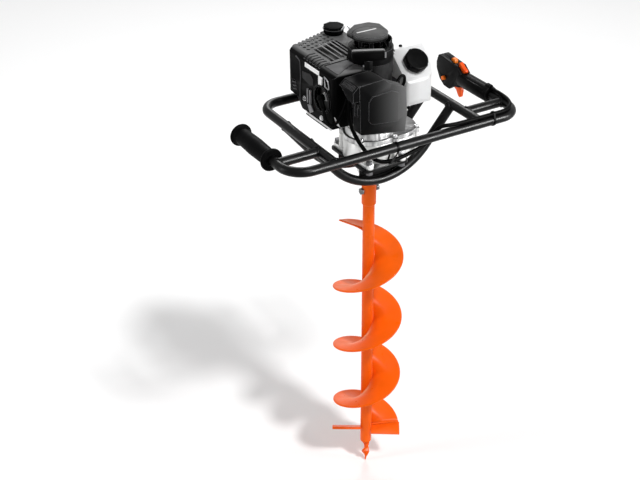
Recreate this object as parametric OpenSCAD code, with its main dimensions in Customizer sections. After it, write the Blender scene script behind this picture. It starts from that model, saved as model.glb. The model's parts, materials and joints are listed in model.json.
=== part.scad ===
// Petrol earth auger: tube frame, two-stroke engine, reduction gearbox and spiral bit.
// The origin is the point of the bit, +Z runs up the bit, +X to the right of the frame,
// and +Y away from the front crossbar. All sizes are in millimetres.

/* [Bit] */
// Diameter that the spiral flight cuts
flight_d = 150; // [120:1:200]
// Length of the bit from its point to the top of its socket
bit_len = 762; // [740:1:800]
// Rise of the flight in one turn
flight_pitch = 152.7; // [120:0.1:170]
// Thickness of the flight plate
flight_t = 4; // [3:0.5:6]
// Diameter of the bit's shaft
bit_shaft_d = 25; // [22:1:28]
// Diameter of the socket that slides over the output shaft
socket_d = 30.2; // [29:0.1:34]
// Length of the socket
socket_len = 73; // [60:1:80]
// Height of the retaining bolt below the top of the socket
bolt_drop = 40; // [30:1:48]
// Height of the cutting blades above the point
blade_z = 97; // [80:1:105]
// Width of a cutting blade along its slope
blade_w = 32; // [24:1:36]
// Thickness of a cutting blade
blade_t = 5; // [4:0.5:6]
// Slope of the cutting blades
blade_slope = 30; // [20:1:35]
// Direction of the leading blade seen from above
blade_dir = -31; // [-60:1:0]

/* [Frame] */
// Diameter of the frame tube
tube_d = 19; // [17:0.5:22]
// Wall of the frame tube
tube_wall = 1.5; // [1:0.25:2.5]
// Height of the handle plane above the mount plate
handle_rise = 84; // [80:1:92]
// Distance of the front crossbar from the engine's axis
front_reach = 147.5; // [140:0.5:156]
// Distance of the rear crossbar from the engine's axis
rear_reach = 147.5; // [147:0.5:156]
// Half the spacing of the two grips
grip_x = 260; // [250:1:275]
// Half the spacing of the rear loop's legs
loop_x = 167; // [163:1:175]
// Bend radius of the front corners
front_bend = 45; // [38:1:52]
// Bend radius of the rear corners
rear_bend = 40; // [32:1:48]
// Distance of the two braces from the engine's axis
brace_y = 88; // [80:1:94]
// Half the spacing of the two cradle tubes
cradle_y = 44; // [43:0.5:47]
// Bend radius of the cradle tubes
cradle_bend = 138; // [132:1:144]
// Slope of the cradle tubes where they meet the loop
cradle_slope = 50; // [46:1:54]
// Thickness of the gearbox mount plate
plate_t = 6; // [4:0.5:6]

/* [Grips] */
// Length of the rubber grip
grip_len = 127; // [110:1:135]
// Diameter of the rubber grip
grip_d = 36; // [32:1:40]
// Diameter of the grip's end flanges
grip_flange_d = 45; // [42:1:50]
// Distance of the grip's far end behind the engine's axis
grip_end_y = 54; // [45:1:60]
// Diameter of the throttle handle's grip
throttle_d = 34; // [33:0.5:38]
// Width of the throttle handle's head
head_w = 25; // [23:0.5:28]

/* [Gearbox] */
// Distance between the output shaft and the countershaft
gear_centre = 50; // [50]
// Module of the output gear pair
out_module = 2; // [2]
// Teeth of the output gear
out_teeth = 40; // [40]
// Teeth of both pinions
pinion_teeth = 10; // [10]
// Module of the input gear pair
in_module = 1.25; // [1.25]
// Teeth of the countershaft gear
counter_teeth = 70; // [70]
// Diameter of the output shaft
out_shaft_d = 20; // [20]
// Outer radius of the gearbox round the output gear
case_r = 54; // [53:0.5:56]
// Outer radius of the gearbox round the countershaft gear
case_end_r = 51; // [50.5:0.5:52]
// Height of the gearbox case
case_h = 40; // [40:1:44]
// Height of the gearbox cover
cover_h = 27; // [27:1:30]
// Length of the bearing boss under the gearbox case
boss_len = 40; // [40:1:44]

/* [Engine] */
// Height of the clutch housing
bell_h = 32; // [32:1:36]
// Radius of the clutch housing
bell_r = 48; // [47:0.5:49]
// Radius of the crankcase
crankcase_r = 42; // [40:0.5:42.5]
// Height of the crankcase below the fan
crankcase_h = 80; // [80:1:84]
// Height of the fan cup
fan_cup_h = 25; // [25:1:28]
// Radius of the fan cup and the starter housing
starter_r = 44; // [43.5:0.5:45]
// Height of the starter housing
starter_h = 50; // [48:1:54]
// Radius of the flywheel
flywheel_r = 36.5; // [34:0.5:37.5]
// Distance of the shroud's left face from the engine's axis
shroud_reach = 108; // [106:1:112]
// Wall of the moulded covers
cover_wall = 2.6; // [2:0.1:3]
// Length of the pull handle
pull_len = 64; // [56:1:72]

/* [Filter and tank] */
// Distance of the filter cover's face from the engine's axis
filter_reach = 110; // [108:0.5:114]
// Left end of the fuel tank
tank_x0 = 48; // [47:0.5:52]
// Right end of the fuel tank
tank_x1 = 122; // [112:1:128]
// Front of the fuel tank
tank_front = 55; // [52:1:56]
// Back of the fuel tank
tank_back = 65; // [58:1:72]
// Height of the fuel tank
tank_h = 104; // [102:1:112]
// Diameter of the fuel cap
cap_d = 49; // [44:1:52]

/* [Hidden] */
$fn = 48;
eps = 0.01;
weld_gap = 0.1;
seat_gap = 0.2;
run_gap = 0.05;
gap = 0.4;

// Heights, each built on the one below it
boss_z = bit_len + 4;
case_z = boss_z + boss_len;
seam_z = case_z + case_h;
cover_top = seam_z + cover_h;
engine_z = cover_top + bell_h;
cylinder_z = engine_z + 47;
fan_z = engine_z + crankcase_h;
starter_z = fan_z + fan_cup_h;
starter_top = starter_z + starter_h;
handle_z = case_z + handle_rise;
bolt_z = bit_len - bolt_drop;
socket_z = bit_len - socket_len;

tube_r = tube_d / 2;
tube_bore = tube_d - 2 * tube_wall;
cradle_z = case_z - 40;
counter_x = gear_centre;

// Small helpers for directions, rounded outlines and swept tubes
function unit(v) = v / norm(v);
function corner(a, b, c, r, n) =
    let (u = unit(a - b), v = unit(c - b), half = acos(u * v) / 2)
    let (mid = b + unit(u + v) * r / sin(half), w = 180 - 2 * half)
    let (p = b + u * r / tan(half) - mid, q = b + v * r / tan(half) - mid)
    [for (k = [0 : n]) mid + (p * sin((1 - k / n) * w) + q * sin(k / n * w)) / sin(w)];
function at(r, i) = is_list(r) ? r[i] : r;
function rounded(pts, r, n = 5) =
    [for (i = [0 : len(pts) - 1])
        each (at(r, i) == 0 ? [pts[i]] :
            corner(pts[(i + len(pts) - 1) % len(pts)], pts[i], pts[(i + 1) % len(pts)], at(r, i), n))];
function box_pts(a, b) = [[a[0], a[1]], [b[0], a[1]], [b[0], b[1]], [a[0], b[1]]];

function spline(a, b, c, d, t) =
    0.5 * (2 * b + (c - a) * t + (2 * a - 5 * b + 4 * c - d) * t * t + (3 * b - a - 3 * c + d) * t * t * t);
function smooth(p, n) =
    [for (i = [0 : len(p) - 2]) for (k = [0 : n - 1])
        spline(p[max(i - 1, 0)], p[i], p[i + 1], p[min(i + 2, len(p) - 1)], k / n), p[len(p) - 1]];
function tangent(p, i) = unit(p[min(i + 1, len(p) - 1)] - p[max(i - 1, 0)]);
function squared(v, t) = unit(v - (v * t) * t);
function side_dirs(p, i, v) =
    i == len(p) ? [] : let (w = squared(v, tangent(p, i))) concat([w], side_dirs(p, i + 1, w));
module sweep(path, r, sides) {
    dirs = side_dirs(path, 0, [0.31, 0.17, 0.93]);
    points = [for (i = [0 : len(path) - 1]) for (k = [0 : sides - 1])
        let (a = 360 * k / sides, v = cross(tangent(path, i), dirs[i]))
        path[i] + r * (cos(a) * dirs[i] + sin(a) * v)];
    walls = [for (i = [0 : len(path) - 2]) for (k = [0 : sides - 1])
        let (a = i * sides + k, b = i * sides + (k + 1) % sides)
        each [[a, a + sides, b], [b, a + sides, b + sides]]];
    last = (len(path) - 1) * sides;
    ends = [[for (k = [0 : sides - 1]) k], [for (k = [sides - 1 : -1 : 0]) last + k]];
    polyhedron(points, concat(walls, ends));
}

module along(v) rotate([0, acos(v[2] / norm(v)), atan2(v[1], v[0])]) children();
module slab_x(x0, x1) translate([x0, 0, 0]) rotate([90, 0, 90]) linear_extrude(x1 - x0) children();
module slab_y(y0, y1) translate([0, y1, 0]) rotate([90, 0, 0]) linear_extrude(y1 - y0) children();
module slab_z(z0, z1) translate([0, 0, z0]) linear_extrude(z1 - z0) children();
module rod(a, b, d) translate(a) along(b - a) cylinder(d = d, h = norm(b - a));
module ring(r_out, r_in, z0, z1) {
    translate([0, 0, z0]) difference() {
        cylinder(r = r_out, h = z1 - z0);
        translate([0, 0, -1]) cylinder(r = r_in, h = z1 - z0 + 2);
    }
}

// Frame tubes
module pipe_run(a, b) {
    difference() {
        rod(a, b, tube_d);
        rod(a - unit(b - a), b + unit(b - a), tube_bore);
    }
}
module pipe_bend(centre, radius, from, turn) {
    translate(centre) rotate([0, 0, from]) rotate_extrude(angle = turn)
        translate([radius, 0]) difference() {
            circle(d = tube_d);
            circle(d = tube_bore);
        }
}
front_y = -front_reach;
bar_half = grip_x - front_bend;
throttle_tube_end = 40;
module front_handlebar() {
    color("black") {
        pipe_run([-bar_half, front_y, handle_z], [bar_half, front_y, handle_z]);
        for (side = [-1, 1]) {
            end_y = side < 0 ? grip_end_y - 4 : throttle_tube_end;
            pipe_bend([side * bar_half, front_y + front_bend, handle_z], front_bend,
                side < 0 ? 180 : 270, 90);
            pipe_run([side * grip_x, front_y + front_bend, handle_z], [side * grip_x, end_y, handle_z]);
        }
    }
}
module coped_to_front_bar() {
    difference() {
        children();
        rod([-bar_half, front_y, handle_z], [bar_half, front_y, handle_z], tube_d + 2 * weld_gap);
    }
}
module rear_loop() {
    turn_x = loop_x - rear_bend;
    turn_y = rear_reach - rear_bend;
    color("black") {
        pipe_run([-turn_x, rear_reach, handle_z], [turn_x, rear_reach, handle_z]);
        for (side = [-1, 1]) {
            pipe_bend([side * turn_x, turn_y, handle_z], rear_bend, side < 0 ? 90 : 0, 90);
            coped_to_front_bar()
                pipe_run([side * loop_x, front_y, handle_z], [side * loop_x, turn_y, handle_z]);
        }
    }
}
cradle_run_x = cradle_bend * sin(cradle_slope);
cradle_run_z = cradle_z + cradle_bend * (1 - cos(cradle_slope));
module cradle_bow(d) {
    translate([0, 0, cradle_z + cradle_bend]) rotate([90, 0, 0])
        rotate([0, 0, 270 - cradle_slope]) rotate_extrude(angle = 2 * cradle_slope)
            translate([cradle_bend, 0]) circle(d = d);
}
module cradle_half() {
    leg = (loop_x - cradle_run_x) / cos(cradle_slope);
    difference() {
        translate([0, 0, cradle_z + cradle_bend]) rotate([90, 0, 0]) rotate([0, 0, cradle_slope - 90]) {
            rotate_extrude(angle = -cradle_slope - 5) translate([cradle_bend, 0]) difference() {
                circle(d = tube_d);
                circle(d = tube_bore);
            }
            translate([cradle_bend, 0, 0]) rotate([-90, 0, 0]) difference() {
                cylinder(d = tube_d, h = leg);
                translate([0, 0, -1]) cylinder(d = tube_bore, h = leg + 2);
            }
        }
        rod([loop_x, -2 * tube_d, handle_z], [loop_x, 2 * tube_d, handle_z], tube_d + 2 * weld_gap);
        translate([-3 * tube_d, -tube_d, cradle_z - 2 * tube_d]) cube([3 * tube_d, 2 * tube_d, 4 * tube_d]);
    }
}
module cradle_tube(y) {
    color("black") translate([0, y, 0]) {
        cradle_half();
        mirror([1, 0, 0]) cradle_half();
    }
}
module front_cradle_tube() cradle_tube(-cradle_y);
module rear_cradle_tube() cradle_tube(cradle_y);
module side_braces() {
    color("black") for (side = [-1, 1]) difference() {
        pipe_run([side * loop_x, -brace_y, handle_z], [side * grip_x, -brace_y, handle_z]);
        for (x = [loop_x, grip_x])
            rod([side * x, -brace_y - tube_d, handle_z], [side * x, -brace_y + tube_d, handle_z],
                tube_d + 2 * weld_gap);
    }
}

// Plate that carries the gearbox between the two cradle tubes
plate_half_x = 52;
plate_half_y = 67;
frame_bolt_x = 38;
frame_bolt_y = 59;
frame_bolt_d = 8;
skirt_y = cradle_y - 5;
skirt_t = 5;
boss_r = 25;
module frame_bolt_places() {
    for (x = [-frame_bolt_x, frame_bolt_x]) for (y = [-frame_bolt_y, frame_bolt_y])
        translate([x, y, 0]) children();
}
module mount_plate() {
    plate_z = case_z - plate_t;
    color("black") {
        difference() {
            slab_z(plate_z, case_z)
                polygon(rounded(box_pts([-plate_half_x, -plate_half_y], [plate_half_x, plate_half_y]), 8));
            translate([0, 0, plate_z - 1]) cylinder(r = boss_r + 0.5, h = plate_t + 2);
            frame_bolt_places() translate([0, 0, plate_z - 1])
                cylinder(d = frame_bolt_d + 0.6, h = plate_t + 2);
        }
        for (side = [-1, 1]) difference() {
            translate([-plate_half_x + 4, side * skirt_y - skirt_t / 2, cradle_z])
                cube([2 * plate_half_x - 8, skirt_t, plate_z - cradle_z]);
            translate([0, side * cradle_y, 0]) cradle_bow(tube_d + 2 * seat_gap);
        }
    }
}
lug_h = 10;
frame_nut_h = 7;
module hex(across, h) cylinder(d = across / cos(30), h = h, $fn = 6);
module frame_bolts() {
    color("silver") frame_bolt_places() {
        translate([0, 0, case_z - plate_t - frame_nut_h - seat_gap]) hex(13, frame_nut_h);
        translate([0, 0, case_z - plate_t - seat_gap - eps])
            cylinder(d = frame_bolt_d, h = plate_t + lug_h + 0.5);
        translate([0, 0, case_z + lug_h + seat_gap]) hex(13, 5.5);
    }
}

// Rubber grip on the left handle
module left_grip() {
    start = grip_end_y - grip_len;
    bore_end = grip_end_y - 4 + gap;
    profile = [[tube_r + seat_gap, 0], [grip_flange_d / 2 - 2, 0], [grip_flange_d / 2, 2],
        [grip_flange_d / 2, 4], [grip_d / 2 + 1, 8], [grip_d / 2 - 1.5, 14], [grip_d / 2, grip_len / 2],
        [grip_d / 2 - 1.5, grip_len - 12], [grip_d / 2 + 1, grip_len - 7],
        [grip_flange_d / 2, grip_len - 4], [grip_flange_d / 2, grip_len - 2],
        [grip_flange_d / 2 - 2, grip_len], [0, grip_len], [0, bore_end - start],
        [tube_r + seat_gap, bore_end - start]];
    color("dimgray") translate([-grip_x, start, handle_z]) rotate([-90, 0, 0])
        rotate_extrude() polygon(profile);
}

// Throttle handle, drawn about the right end of the handlebar
grip_start = -50;
neck_y = 46;
head_profile = [[neck_y - 8, -15], [62, -21], [75, -32], [95, -31], [112, -20], [124, 0], [125, 15],
    [118, 33],
    [54, 27], [neck_y - 8, 15]];
trigger_pivot = [70, -13];
lockout_pivot = [53, 12];
switch_y = 78;
button_y = 95;
button_z = -13;
button_d = 9;
module at_throttle() translate([grip_x, 0, handle_z]) children();
module trigger_shape() {
    offset_pts = [[74, -18], [66, -9], [50, -14], [45, -26], [48, -44], [54, -41], [62, -30], [74, -24]];
    polygon(rounded(offset_pts, [3, 4, 3, 6, 2, 4, 6, 2]));
}
module lockout_shape() {
    polygon(rounded([[56, 9], [48, 9], [34, 17], [33, 21.5], [44, 27], [54, 34], [57, 32], [57, 14]],
        [2, 4, 2, 1.5, 6, 1.5, 1.5, 2]));
}
module throttle_body() {
    rod([0, grip_start, 0], [0, neck_y, 0], throttle_d);
    slab_x(-head_w / 2, head_w / 2) polygon(rounded(head_profile, [2, 6, 8, 8, 10, 8, 8, 5, 4, 2]));
    translate([0, 0, throttle_d / 2 - 2]) rod([0, grip_start, 0], [0, grip_start + 14, 0], 14);
}
module throttle_half(side) {
    slot = 5;
    difference() {
        intersection() {
            throttle_body();
            translate([side < 0 ? -40 : run_gap, -60, -60]) cube([40 - run_gap, 200, 120]);
        }
        rod([0, grip_start - 1, 0], [0, throttle_tube_end + 1, 0], tube_d + 2 * seat_gap);
        slab_x(-head_w / 2 + 3, head_w / 2 - 3)
            polygon(rounded([[58, -16], [76, -26], [104, -16], [114, 2], [112, 20], [62, 20]], 4));
        slab_x(-slot, slot) polygon(box_pts([40.5, -60], [76.5, -3]));
        slab_x(-slot, slot) polygon(box_pts([31, 7], [60, 40]));
        slab_x(-slot, slot) polygon(box_pts([switch_y - 11, 14], [switch_y + 11, 40]));
        if (side < 0) {
            rod([-20, button_y, button_z], [-8, button_y, button_z], button_d + 2 * run_gap + 0.5);
            for (pivot = [trigger_pivot, lockout_pivot])
                rod([-head_w / 2 + 2, pivot[0], pivot[1]], [1, pivot[0], pivot[1]], 4 + 2 * run_gap);
        }
        rod([0, grip_start - 1, throttle_d / 2 - 2], [0, grip_start + 8, throttle_d / 2 - 2], 8.6);
    }
    if (side > 0) {
        for (pivot = [trigger_pivot, lockout_pivot])
            rod([-head_w / 2 + 3.5, pivot[0], pivot[1]], [head_w / 2 - 3.5 + eps, pivot[0], pivot[1]], 4);
    }
}
module throttle_shell_inner() color("black") at_throttle() throttle_half(-1);
module throttle_shell_outer() color("black") at_throttle() throttle_half(1);
module pivot_hole(at) rod([-6, at[0], at[1]], [6, at[0], at[1]], 4 + 2 * run_gap);
module throttle_trigger() {
    color("orangered") at_throttle() difference() {
        slab_x(-4.3, 4.3) {
            trigger_shape();
            translate(trigger_pivot) circle(r = 5);
        }
        pivot_hole(trigger_pivot);
    }
}
module trigger_lockout() {
    color("orangered") at_throttle() difference() {
        slab_x(-4.3, 4.3) lockout_shape();
        pivot_hole(lockout_pivot);
    }
}
module stop_switch() {
    color("orangered") at_throttle() translate([0, switch_y, 0]) {
        slab_x(-4.3, 4.3) polygon(rounded([[-8, 22], [5, 22], [5, 33], [2, 35.5], [-6, 35], [-8, 32]], 1));
    }
}
module throttle_hold_button() {
    color("orangered") at_throttle()
        rod([-head_w / 2 - 5, button_y, button_z], [-head_w / 2 + 4, button_y, button_z], button_d);
}

// Throttle cable from the handle along the handlebar to the carburettor
cable_d = 8;
cable_top = handle_z + tube_r + cable_d / 2 + 0.5;
cable_route = [
    [260, -42.2, handle_z + throttle_d / 2 - 2], [260, -55, cable_top + 0.5], [261, -80, cable_top],
    [257, -107, cable_top], [245, -131, cable_top], [222, -146, cable_top], [190, -148, cable_top],
    [150, -148, cable_top], [108, -147.5, cable_top], [90, -145, cable_top], [77, -139, cable_top - 2],
    [67, -133, cable_top - 9], [57, -131, handle_z - 9], [40, -129, handle_z - 24],
    [16, -128, handle_z - 31], [-10, -128, handle_z - 36], [-36, -127, handle_z - 38],
    [-56, -118, handle_z - 36], [-66, -98, handle_z - 28], [-70, -74, handle_z - 14],
    [-74, -56, handle_z + 6], [-80, -52, handle_z + 32], [-82, -54, handle_z + 62],
    [-80, -60, handle_z + 82], [-72, -62, handle_z + 92.5], [-62.9, -62, handle_z + 92.5]
];
module throttle_cable() color("black") sweep(smooth(cable_route, 3), cable_d / 2, 8);
module tie_band(a, ra, b, rb) {
    v = b - a;
    turn = atan2(v[1], v[0]);
    lean = acos((ra - rb) / norm(v));
    translate(a) circle(r = ra);
    translate(b) circle(r = rb);
    polygon([for (s = [turn + lean, turn - lean]) a + ra * [cos(s), sin(s)],
        for (s = [turn - lean, turn + lean]) b + rb * [cos(s), sin(s)]]);
}
module cable_tie(x, cable_at) {
    bar = [front_y, handle_z];
    slab_x(x - 2, x + 2) difference() {
        tie_band(bar, tube_r + 1.6, cable_at, cable_d / 2 + 1.9);
        tie_band(bar, tube_r + 0.4, cable_at, cable_d / 2 + 0.7);
    }
}
module cable_ties() {
    color("black") {
        cable_tie(190, [-148, cable_top]);
        cable_tie(-36, [-127, handle_z - 38]);
    }
}

// Auger bit
shaft_bottom = 60;
flight_top = 624;
flight_low = 108;
flight_phase = 117.4;
flight_step = 6;
function flight_height(a) = flight_phase + flight_pitch * a / 360;
flight_from = (flight_low - flight_phase) / flight_pitch * 360;
flight_to = (flight_top - flight_phase) / flight_pitch * 360;
module bit_shaft() {
    r = bit_shaft_d / 2;
    bore = out_shaft_d / 2 + run_gap;
    color("orangered") difference() {
        rotate_extrude() polygon([[0, shaft_bottom], [r - 2, shaft_bottom], [r, shaft_bottom + 2],
            [r, socket_z],
            [socket_d / 2 - 1, socket_z], [socket_d / 2, socket_z + 1], [socket_d / 2, bit_len - 1],
            [socket_d / 2 - 1, bit_len], [bore, bit_len], [bore, bolt_z - 18], [0, bolt_z - 18]]);
        rod([-socket_d, 0, bolt_z], [socket_d, 0, bolt_z], frame_bolt_d + 0.4);
        translate([0, 0, shaft_bottom - 1]) cylinder(d = 12.2, h = 30);
    }
}
module bit_flight() {
    steps = ceil((flight_to - flight_from) / flight_step);
    root = bit_shaft_d / 2 - 0.4;
    points = [for (i = [0 : steps])
        let (a = flight_from + (flight_to - flight_from) * i / steps, z = flight_height(a))
        each [for (p = [[root, -flight_t / 2 - 0.5], [flight_d / 2, -flight_t / 2 + 0.5],
            [flight_d / 2, flight_t / 2 - 0.5], [root, flight_t / 2 + 0.5]])
            [p[0] * cos(a), p[0] * sin(a), z + p[1]]]];
    walls = [for (i = [0 : steps - 1]) for (k = [0 : 3])
        let (a = 4 * i + k, b = 4 * i + (k + 1) % 4)
        each [[a, b, a + 4], [b, b + 4, a + 4]]];
    last = 4 * steps;
    color("orangered") polyhedron(points,
        concat(walls, [[3, 2, 1, 0], [last, last + 1, last + 2, last + 3]]));
}
module blade(reach) {
    rotate([blade_slope, 0, 0]) translate([0, 0, -blade_t / 2]) linear_extrude(blade_t)
        polygon([[bit_shaft_d / 2 - 1, -blade_w / 2], [reach, -blade_w / 2 - 2], [reach, blade_w / 2 - 4],
            [bit_shaft_d / 2 - 1, blade_w / 2]]);
}
module cutting_blades() {
    color("orangered") for (turn = [0, 180]) rotate([0, 0, blade_dir + turn]) translate([0, 0, blade_z])
        difference() {
            blade(flight_d / 2 + 2);
            translate([0, 0, -50]) cylinder(d = bit_shaft_d + 0.1, h = 100);
        }
}
point_width = 17;
point_thick = 6;
point_len = shaft_bottom;
point_taper = 26;
point_turn = 150;
point_rings = 30;
module bit_point() {
    points = [for (i = [0 : point_rings])
        let (z = point_len * i / point_rings, f = min(1, (z + 1) / point_taper),
            a = point_turn * z / point_taper)
        each [for (p = [[1, -0.4], [1, 0.4], [-1, 0.4], [-1, -0.4]])
            let (x = p[0] * f * point_width / 2, y = p[1] * (0.4 + 0.6 * f) * point_thick)
            [x * cos(a) - y * sin(a), x * sin(a) + y * cos(a), z]]];
    walls = [for (i = [0 : point_rings - 1]) for (k = [0 : 3])
        let (a = 4 * i + k, b = 4 * i + (k + 1) % 4)
        each [[a, a + 4, b], [b, a + 4, b + 4]]];
    last = 4 * point_rings;
    color("orangered") {
        polyhedron(points, concat(walls, [[0, 1, 2, 3], [last + 3, last + 2, last + 1, last]]));
        translate([0, 0, point_len - 4]) cylinder(d = 12, h = 20);
    }
}
module retaining_bolt() {
    head = 5.5;
    side = socket_d / 2;
    color("silver") {
        translate([-side - head - 0.3, 0, bolt_z]) rotate([0, 90, 0]) hex(13, head);
        rod([-side - 0.3 - eps, 0, bolt_z], [side + 7.5, 0, bolt_z], frame_bolt_d);
        difference() {
            translate([side + 0.3, 0, bolt_z]) rotate([0, 90, 0]) hex(13, 6.5);
            rod([side, 0, bolt_z], [side + 9, 0, bolt_z], frame_bolt_d + 0.1);
        }
    }
}

// Gearbox heights
out_gear_z = case_z + 16;
out_gear_w = 14;
counter_gear_z = seam_z - 4;
counter_gear_w = 9;
cavity_top = seam_z + 6.6;
cover_flange = 10;
dome_end_r = 24;
dome_r = 49;
wall_r = case_r - 6;
wall_end_r = case_end_r - 4.5;
module link_outline(r, end_r) {
    lean = acos((r - end_r) / counter_x);
    circle(r = r, $fn = 96);
    translate([counter_x, 0]) circle(r = end_r, $fn = 96);
    polygon([for (s = [1, -1]) each [for (e = s > 0 ? [0, 1] : [1, 0])
        [e * counter_x, 0] + ((e > 0 ? end_r : r) - 0.15) * [cos(lean), s * sin(lean)]]]);
}
cover_screw_d = 5;
cover_screws = [for (s = [-1, 1]) each [[-43, 36 * s], [25, 55 * s], [counter_x + 37, 37 * s]]];
module bearing_bore(z, d, w) translate([0, 0, z]) cylinder(d = d + 2 * run_gap, h = w);
module gearbox_case() {
    color("silver") difference() {
        union() {
            slab_z(case_z, seam_z) link_outline(case_r, case_end_r);
            for (p = cover_screws) translate([p[0], p[1], case_z + 8]) cylinder(r = 6, h = case_h - 8);
            frame_bolt_places() translate([0, 0, case_z]) cylinder(r = 9, h = lug_h);
            for (x = [-frame_bolt_x, frame_bolt_x])
                translate([x - 9, -frame_bolt_y, case_z]) cube([18, 2 * frame_bolt_y, lug_h]);
            translate([0, 0, boss_z]) cylinder(r = boss_r, h = boss_len + 1);
        }
        difference() {
            slab_z(case_z + 5, seam_z + 1) link_outline(wall_r, wall_end_r);
            translate([0, 0, case_z]) cylinder(r = 26, h = 7);
            translate([counter_x, 0, case_z]) cylinder(r = 20, h = 13);
        }
        translate([0, 0, boss_z - 1]) cylinder(d = 35 + 2 * run_gap, h = 9);
        translate([0, 0, boss_z]) cylinder(d = 30, h = boss_len + 8);
        bearing_bore(boss_z + 9, 42, boss_len);
        translate([counter_x, 0, case_z + 3]) cylinder(d = 32 + 2 * run_gap, h = 12);
        frame_bolt_places() translate([0, 0, case_z - 1]) cylinder(d = frame_bolt_d + 0.6, h = lug_h + 2);
        for (p = cover_screws) translate([p[0], p[1], seam_z - 16])
            cylinder(d = cover_screw_d + 0.2, h = 17);
    }
}
module gearbox_cover() {
    color("silver") difference() {
        union() {
            slab_z(seam_z, seam_z + cover_flange) link_outline(case_r, case_end_r);
            for (p = cover_screws) translate([p[0], p[1], seam_z]) cylinder(r = 6, h = cover_flange);
            slab_z(seam_z, cover_top) link_outline(dome_r, dome_end_r);
        }
        slab_z(seam_z - 1, cavity_top) link_outline(wall_r, wall_end_r);
        bearing_bore(cavity_top - 1, 35, 12 + 1);
        translate([0, 0, cavity_top]) cylinder(d = 22, h = cover_h);
        translate([counter_x, 0, 0]) bearing_bore(cavity_top - 1, 32, 12 + 1);
        for (p = cover_screws) translate([p[0], p[1], seam_z - 1])
            cylinder(d = cover_screw_d + 0.6, h = cover_h);
    }
}
module gearbox_screws() {
    color("silver") for (p = cover_screws) translate([p[0], p[1], seam_z]) {
        translate([0, 0, -15]) cylinder(d = cover_screw_d, h = 15 + cover_flange + seat_gap + eps);
        translate([0, 0, cover_flange + seat_gap]) difference() {
            cylinder(d = 8.5, h = 5);
            translate([0, 0, 2]) hex(4, 4);
        }
    }
}

// Involute gear outline
pressure = 20;
tooth_slack = 0.12;
function roll(r, rb) = r <= rb ? 0 : tan(acos(rb / r)) * 180 / PI - acos(rb / r);
function tooth_half(m, z, shift) =
    90 / z + (2 * shift * tan(pressure) / z - tooth_slack / (m * z)) * 180 / PI
        + roll(1 / cos(pressure), 1);
function gear_pts(m, z, shift, n = 4) =
    let (rp = m * z / 2, rb = rp * cos(pressure), ro = rp + m * (1 + shift) - 0.1,
        rr = rp - m * (1.25 - shift))
    let (half = tooth_half(m, z, shift), r0 = max(rb, rr))
    let (flank = [for (k = [0 : n]) let (r = r0 + (ro - r0) * k / n) [r, half - roll(r, rb)]])
    [for (i = [0 : z - 1]) let (mid = 360 * i / z)
        each concat(
            rr < r0 ? [rr * [cos(mid - half), sin(mid - half)]] : [],
            [for (k = [0 : n]) flank[k][0] * [cos(mid - flank[k][1]), sin(mid - flank[k][1])]],
            [for (k = [n : -1 : 0]) flank[k][0] * [cos(mid + flank[k][1]), sin(mid + flank[k][1])]],
            rr < r0 ? [rr * [cos(mid + half), sin(mid + half)]] : [])];
pinion_shift = 0.4;
pinion_turn = 180 / pinion_teeth;
module gear(m, z, shift, w) linear_extrude(w) polygon(gear_pts(m, z, shift));
module output_gear() {
    color("gray") translate([0, 0, out_gear_z]) difference() {
        union() {
            gear(out_module, out_teeth, -pinion_shift, out_gear_w);
        }
        translate([0, 0, -1]) cylinder(d = out_shaft_d + 0.06, h = out_gear_w + 2);
        for (a = [0 : 60 : 300]) rotate([0, 0, a]) translate([24, 0, -1])
            cylinder(d = 11, h = out_gear_w + 2);
    }
}
module output_shaft() {
    color("silver") difference() {
        union() {
            translate([0, 0, bolt_z - 17])
                cylinder(d = out_shaft_d, h = out_gear_z + out_gear_w + 2 - bolt_z + 17);
            translate([0, 0, case_z + 7]) cylinder(d = 26, h = out_gear_z - case_z - 7 - 0.3);
        }
        rod([-socket_d, 0, bolt_z], [socket_d, 0, bolt_z], frame_bolt_d + 0.4);
    }
}
counter_low = case_z + 4;
counter_high = cavity_top + 11;
module counter_shaft() {
    color("gray") translate([counter_x, 0, 0]) {
        translate([0, 0, counter_low]) cylinder(d = 12, h = counter_high - counter_low);
        translate([0, 0, out_gear_z - 1.5]) rotate([0, 0, pinion_turn])
            gear(out_module, pinion_teeth, pinion_shift, out_gear_w + 3);
        translate([0, 0, out_gear_z + out_gear_w + 1.4])
            cylinder(d = 16, h = counter_gear_z - out_gear_z - out_gear_w - 1.7);
    }
}
module counter_gear() {
    color("gray") translate([counter_x, 0, counter_gear_z]) difference() {
        gear(in_module, counter_teeth, -pinion_shift, counter_gear_w);
        translate([0, 0, -1]) cylinder(d = 12.06, h = counter_gear_w + 2);
        for (a = [0 : 60 : 300]) rotate([0, 0, a]) translate([25, 0, -1])
            cylinder(d = 14, h = counter_gear_w + 2);
    }
}
input_top = cover_top + 7.3;
crank_low = input_top + 0.6;
module input_pinion() {
    color("gray") {
        translate([0, 0, counter_gear_z - 1]) rotate([0, 0, pinion_turn])
            gear(in_module, pinion_teeth, pinion_shift, counter_gear_w + 2);
        translate([0, 0, counter_gear_z + counter_gear_w + 1 - eps])
            cylinder(d = 15 - 2 * run_gap, h = cover_top + 1 - counter_gear_z - counter_gear_w - 1);
        translate([0, 0, cover_top]) cylinder(d = 10, h = input_top - cover_top);
    }
}
module bearing(z, d_out, d_in, w) {
    ring(d_out / 2, d_out / 2 - 3, z, z + w);
    ring(d_in / 2 + 3, d_in / 2 + 0.02, z, z + w);
    ring(d_out / 2 - 2.9, d_in / 2 + 2.9, z + w / 2 - 1, z + w / 2 + 1);
}
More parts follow.
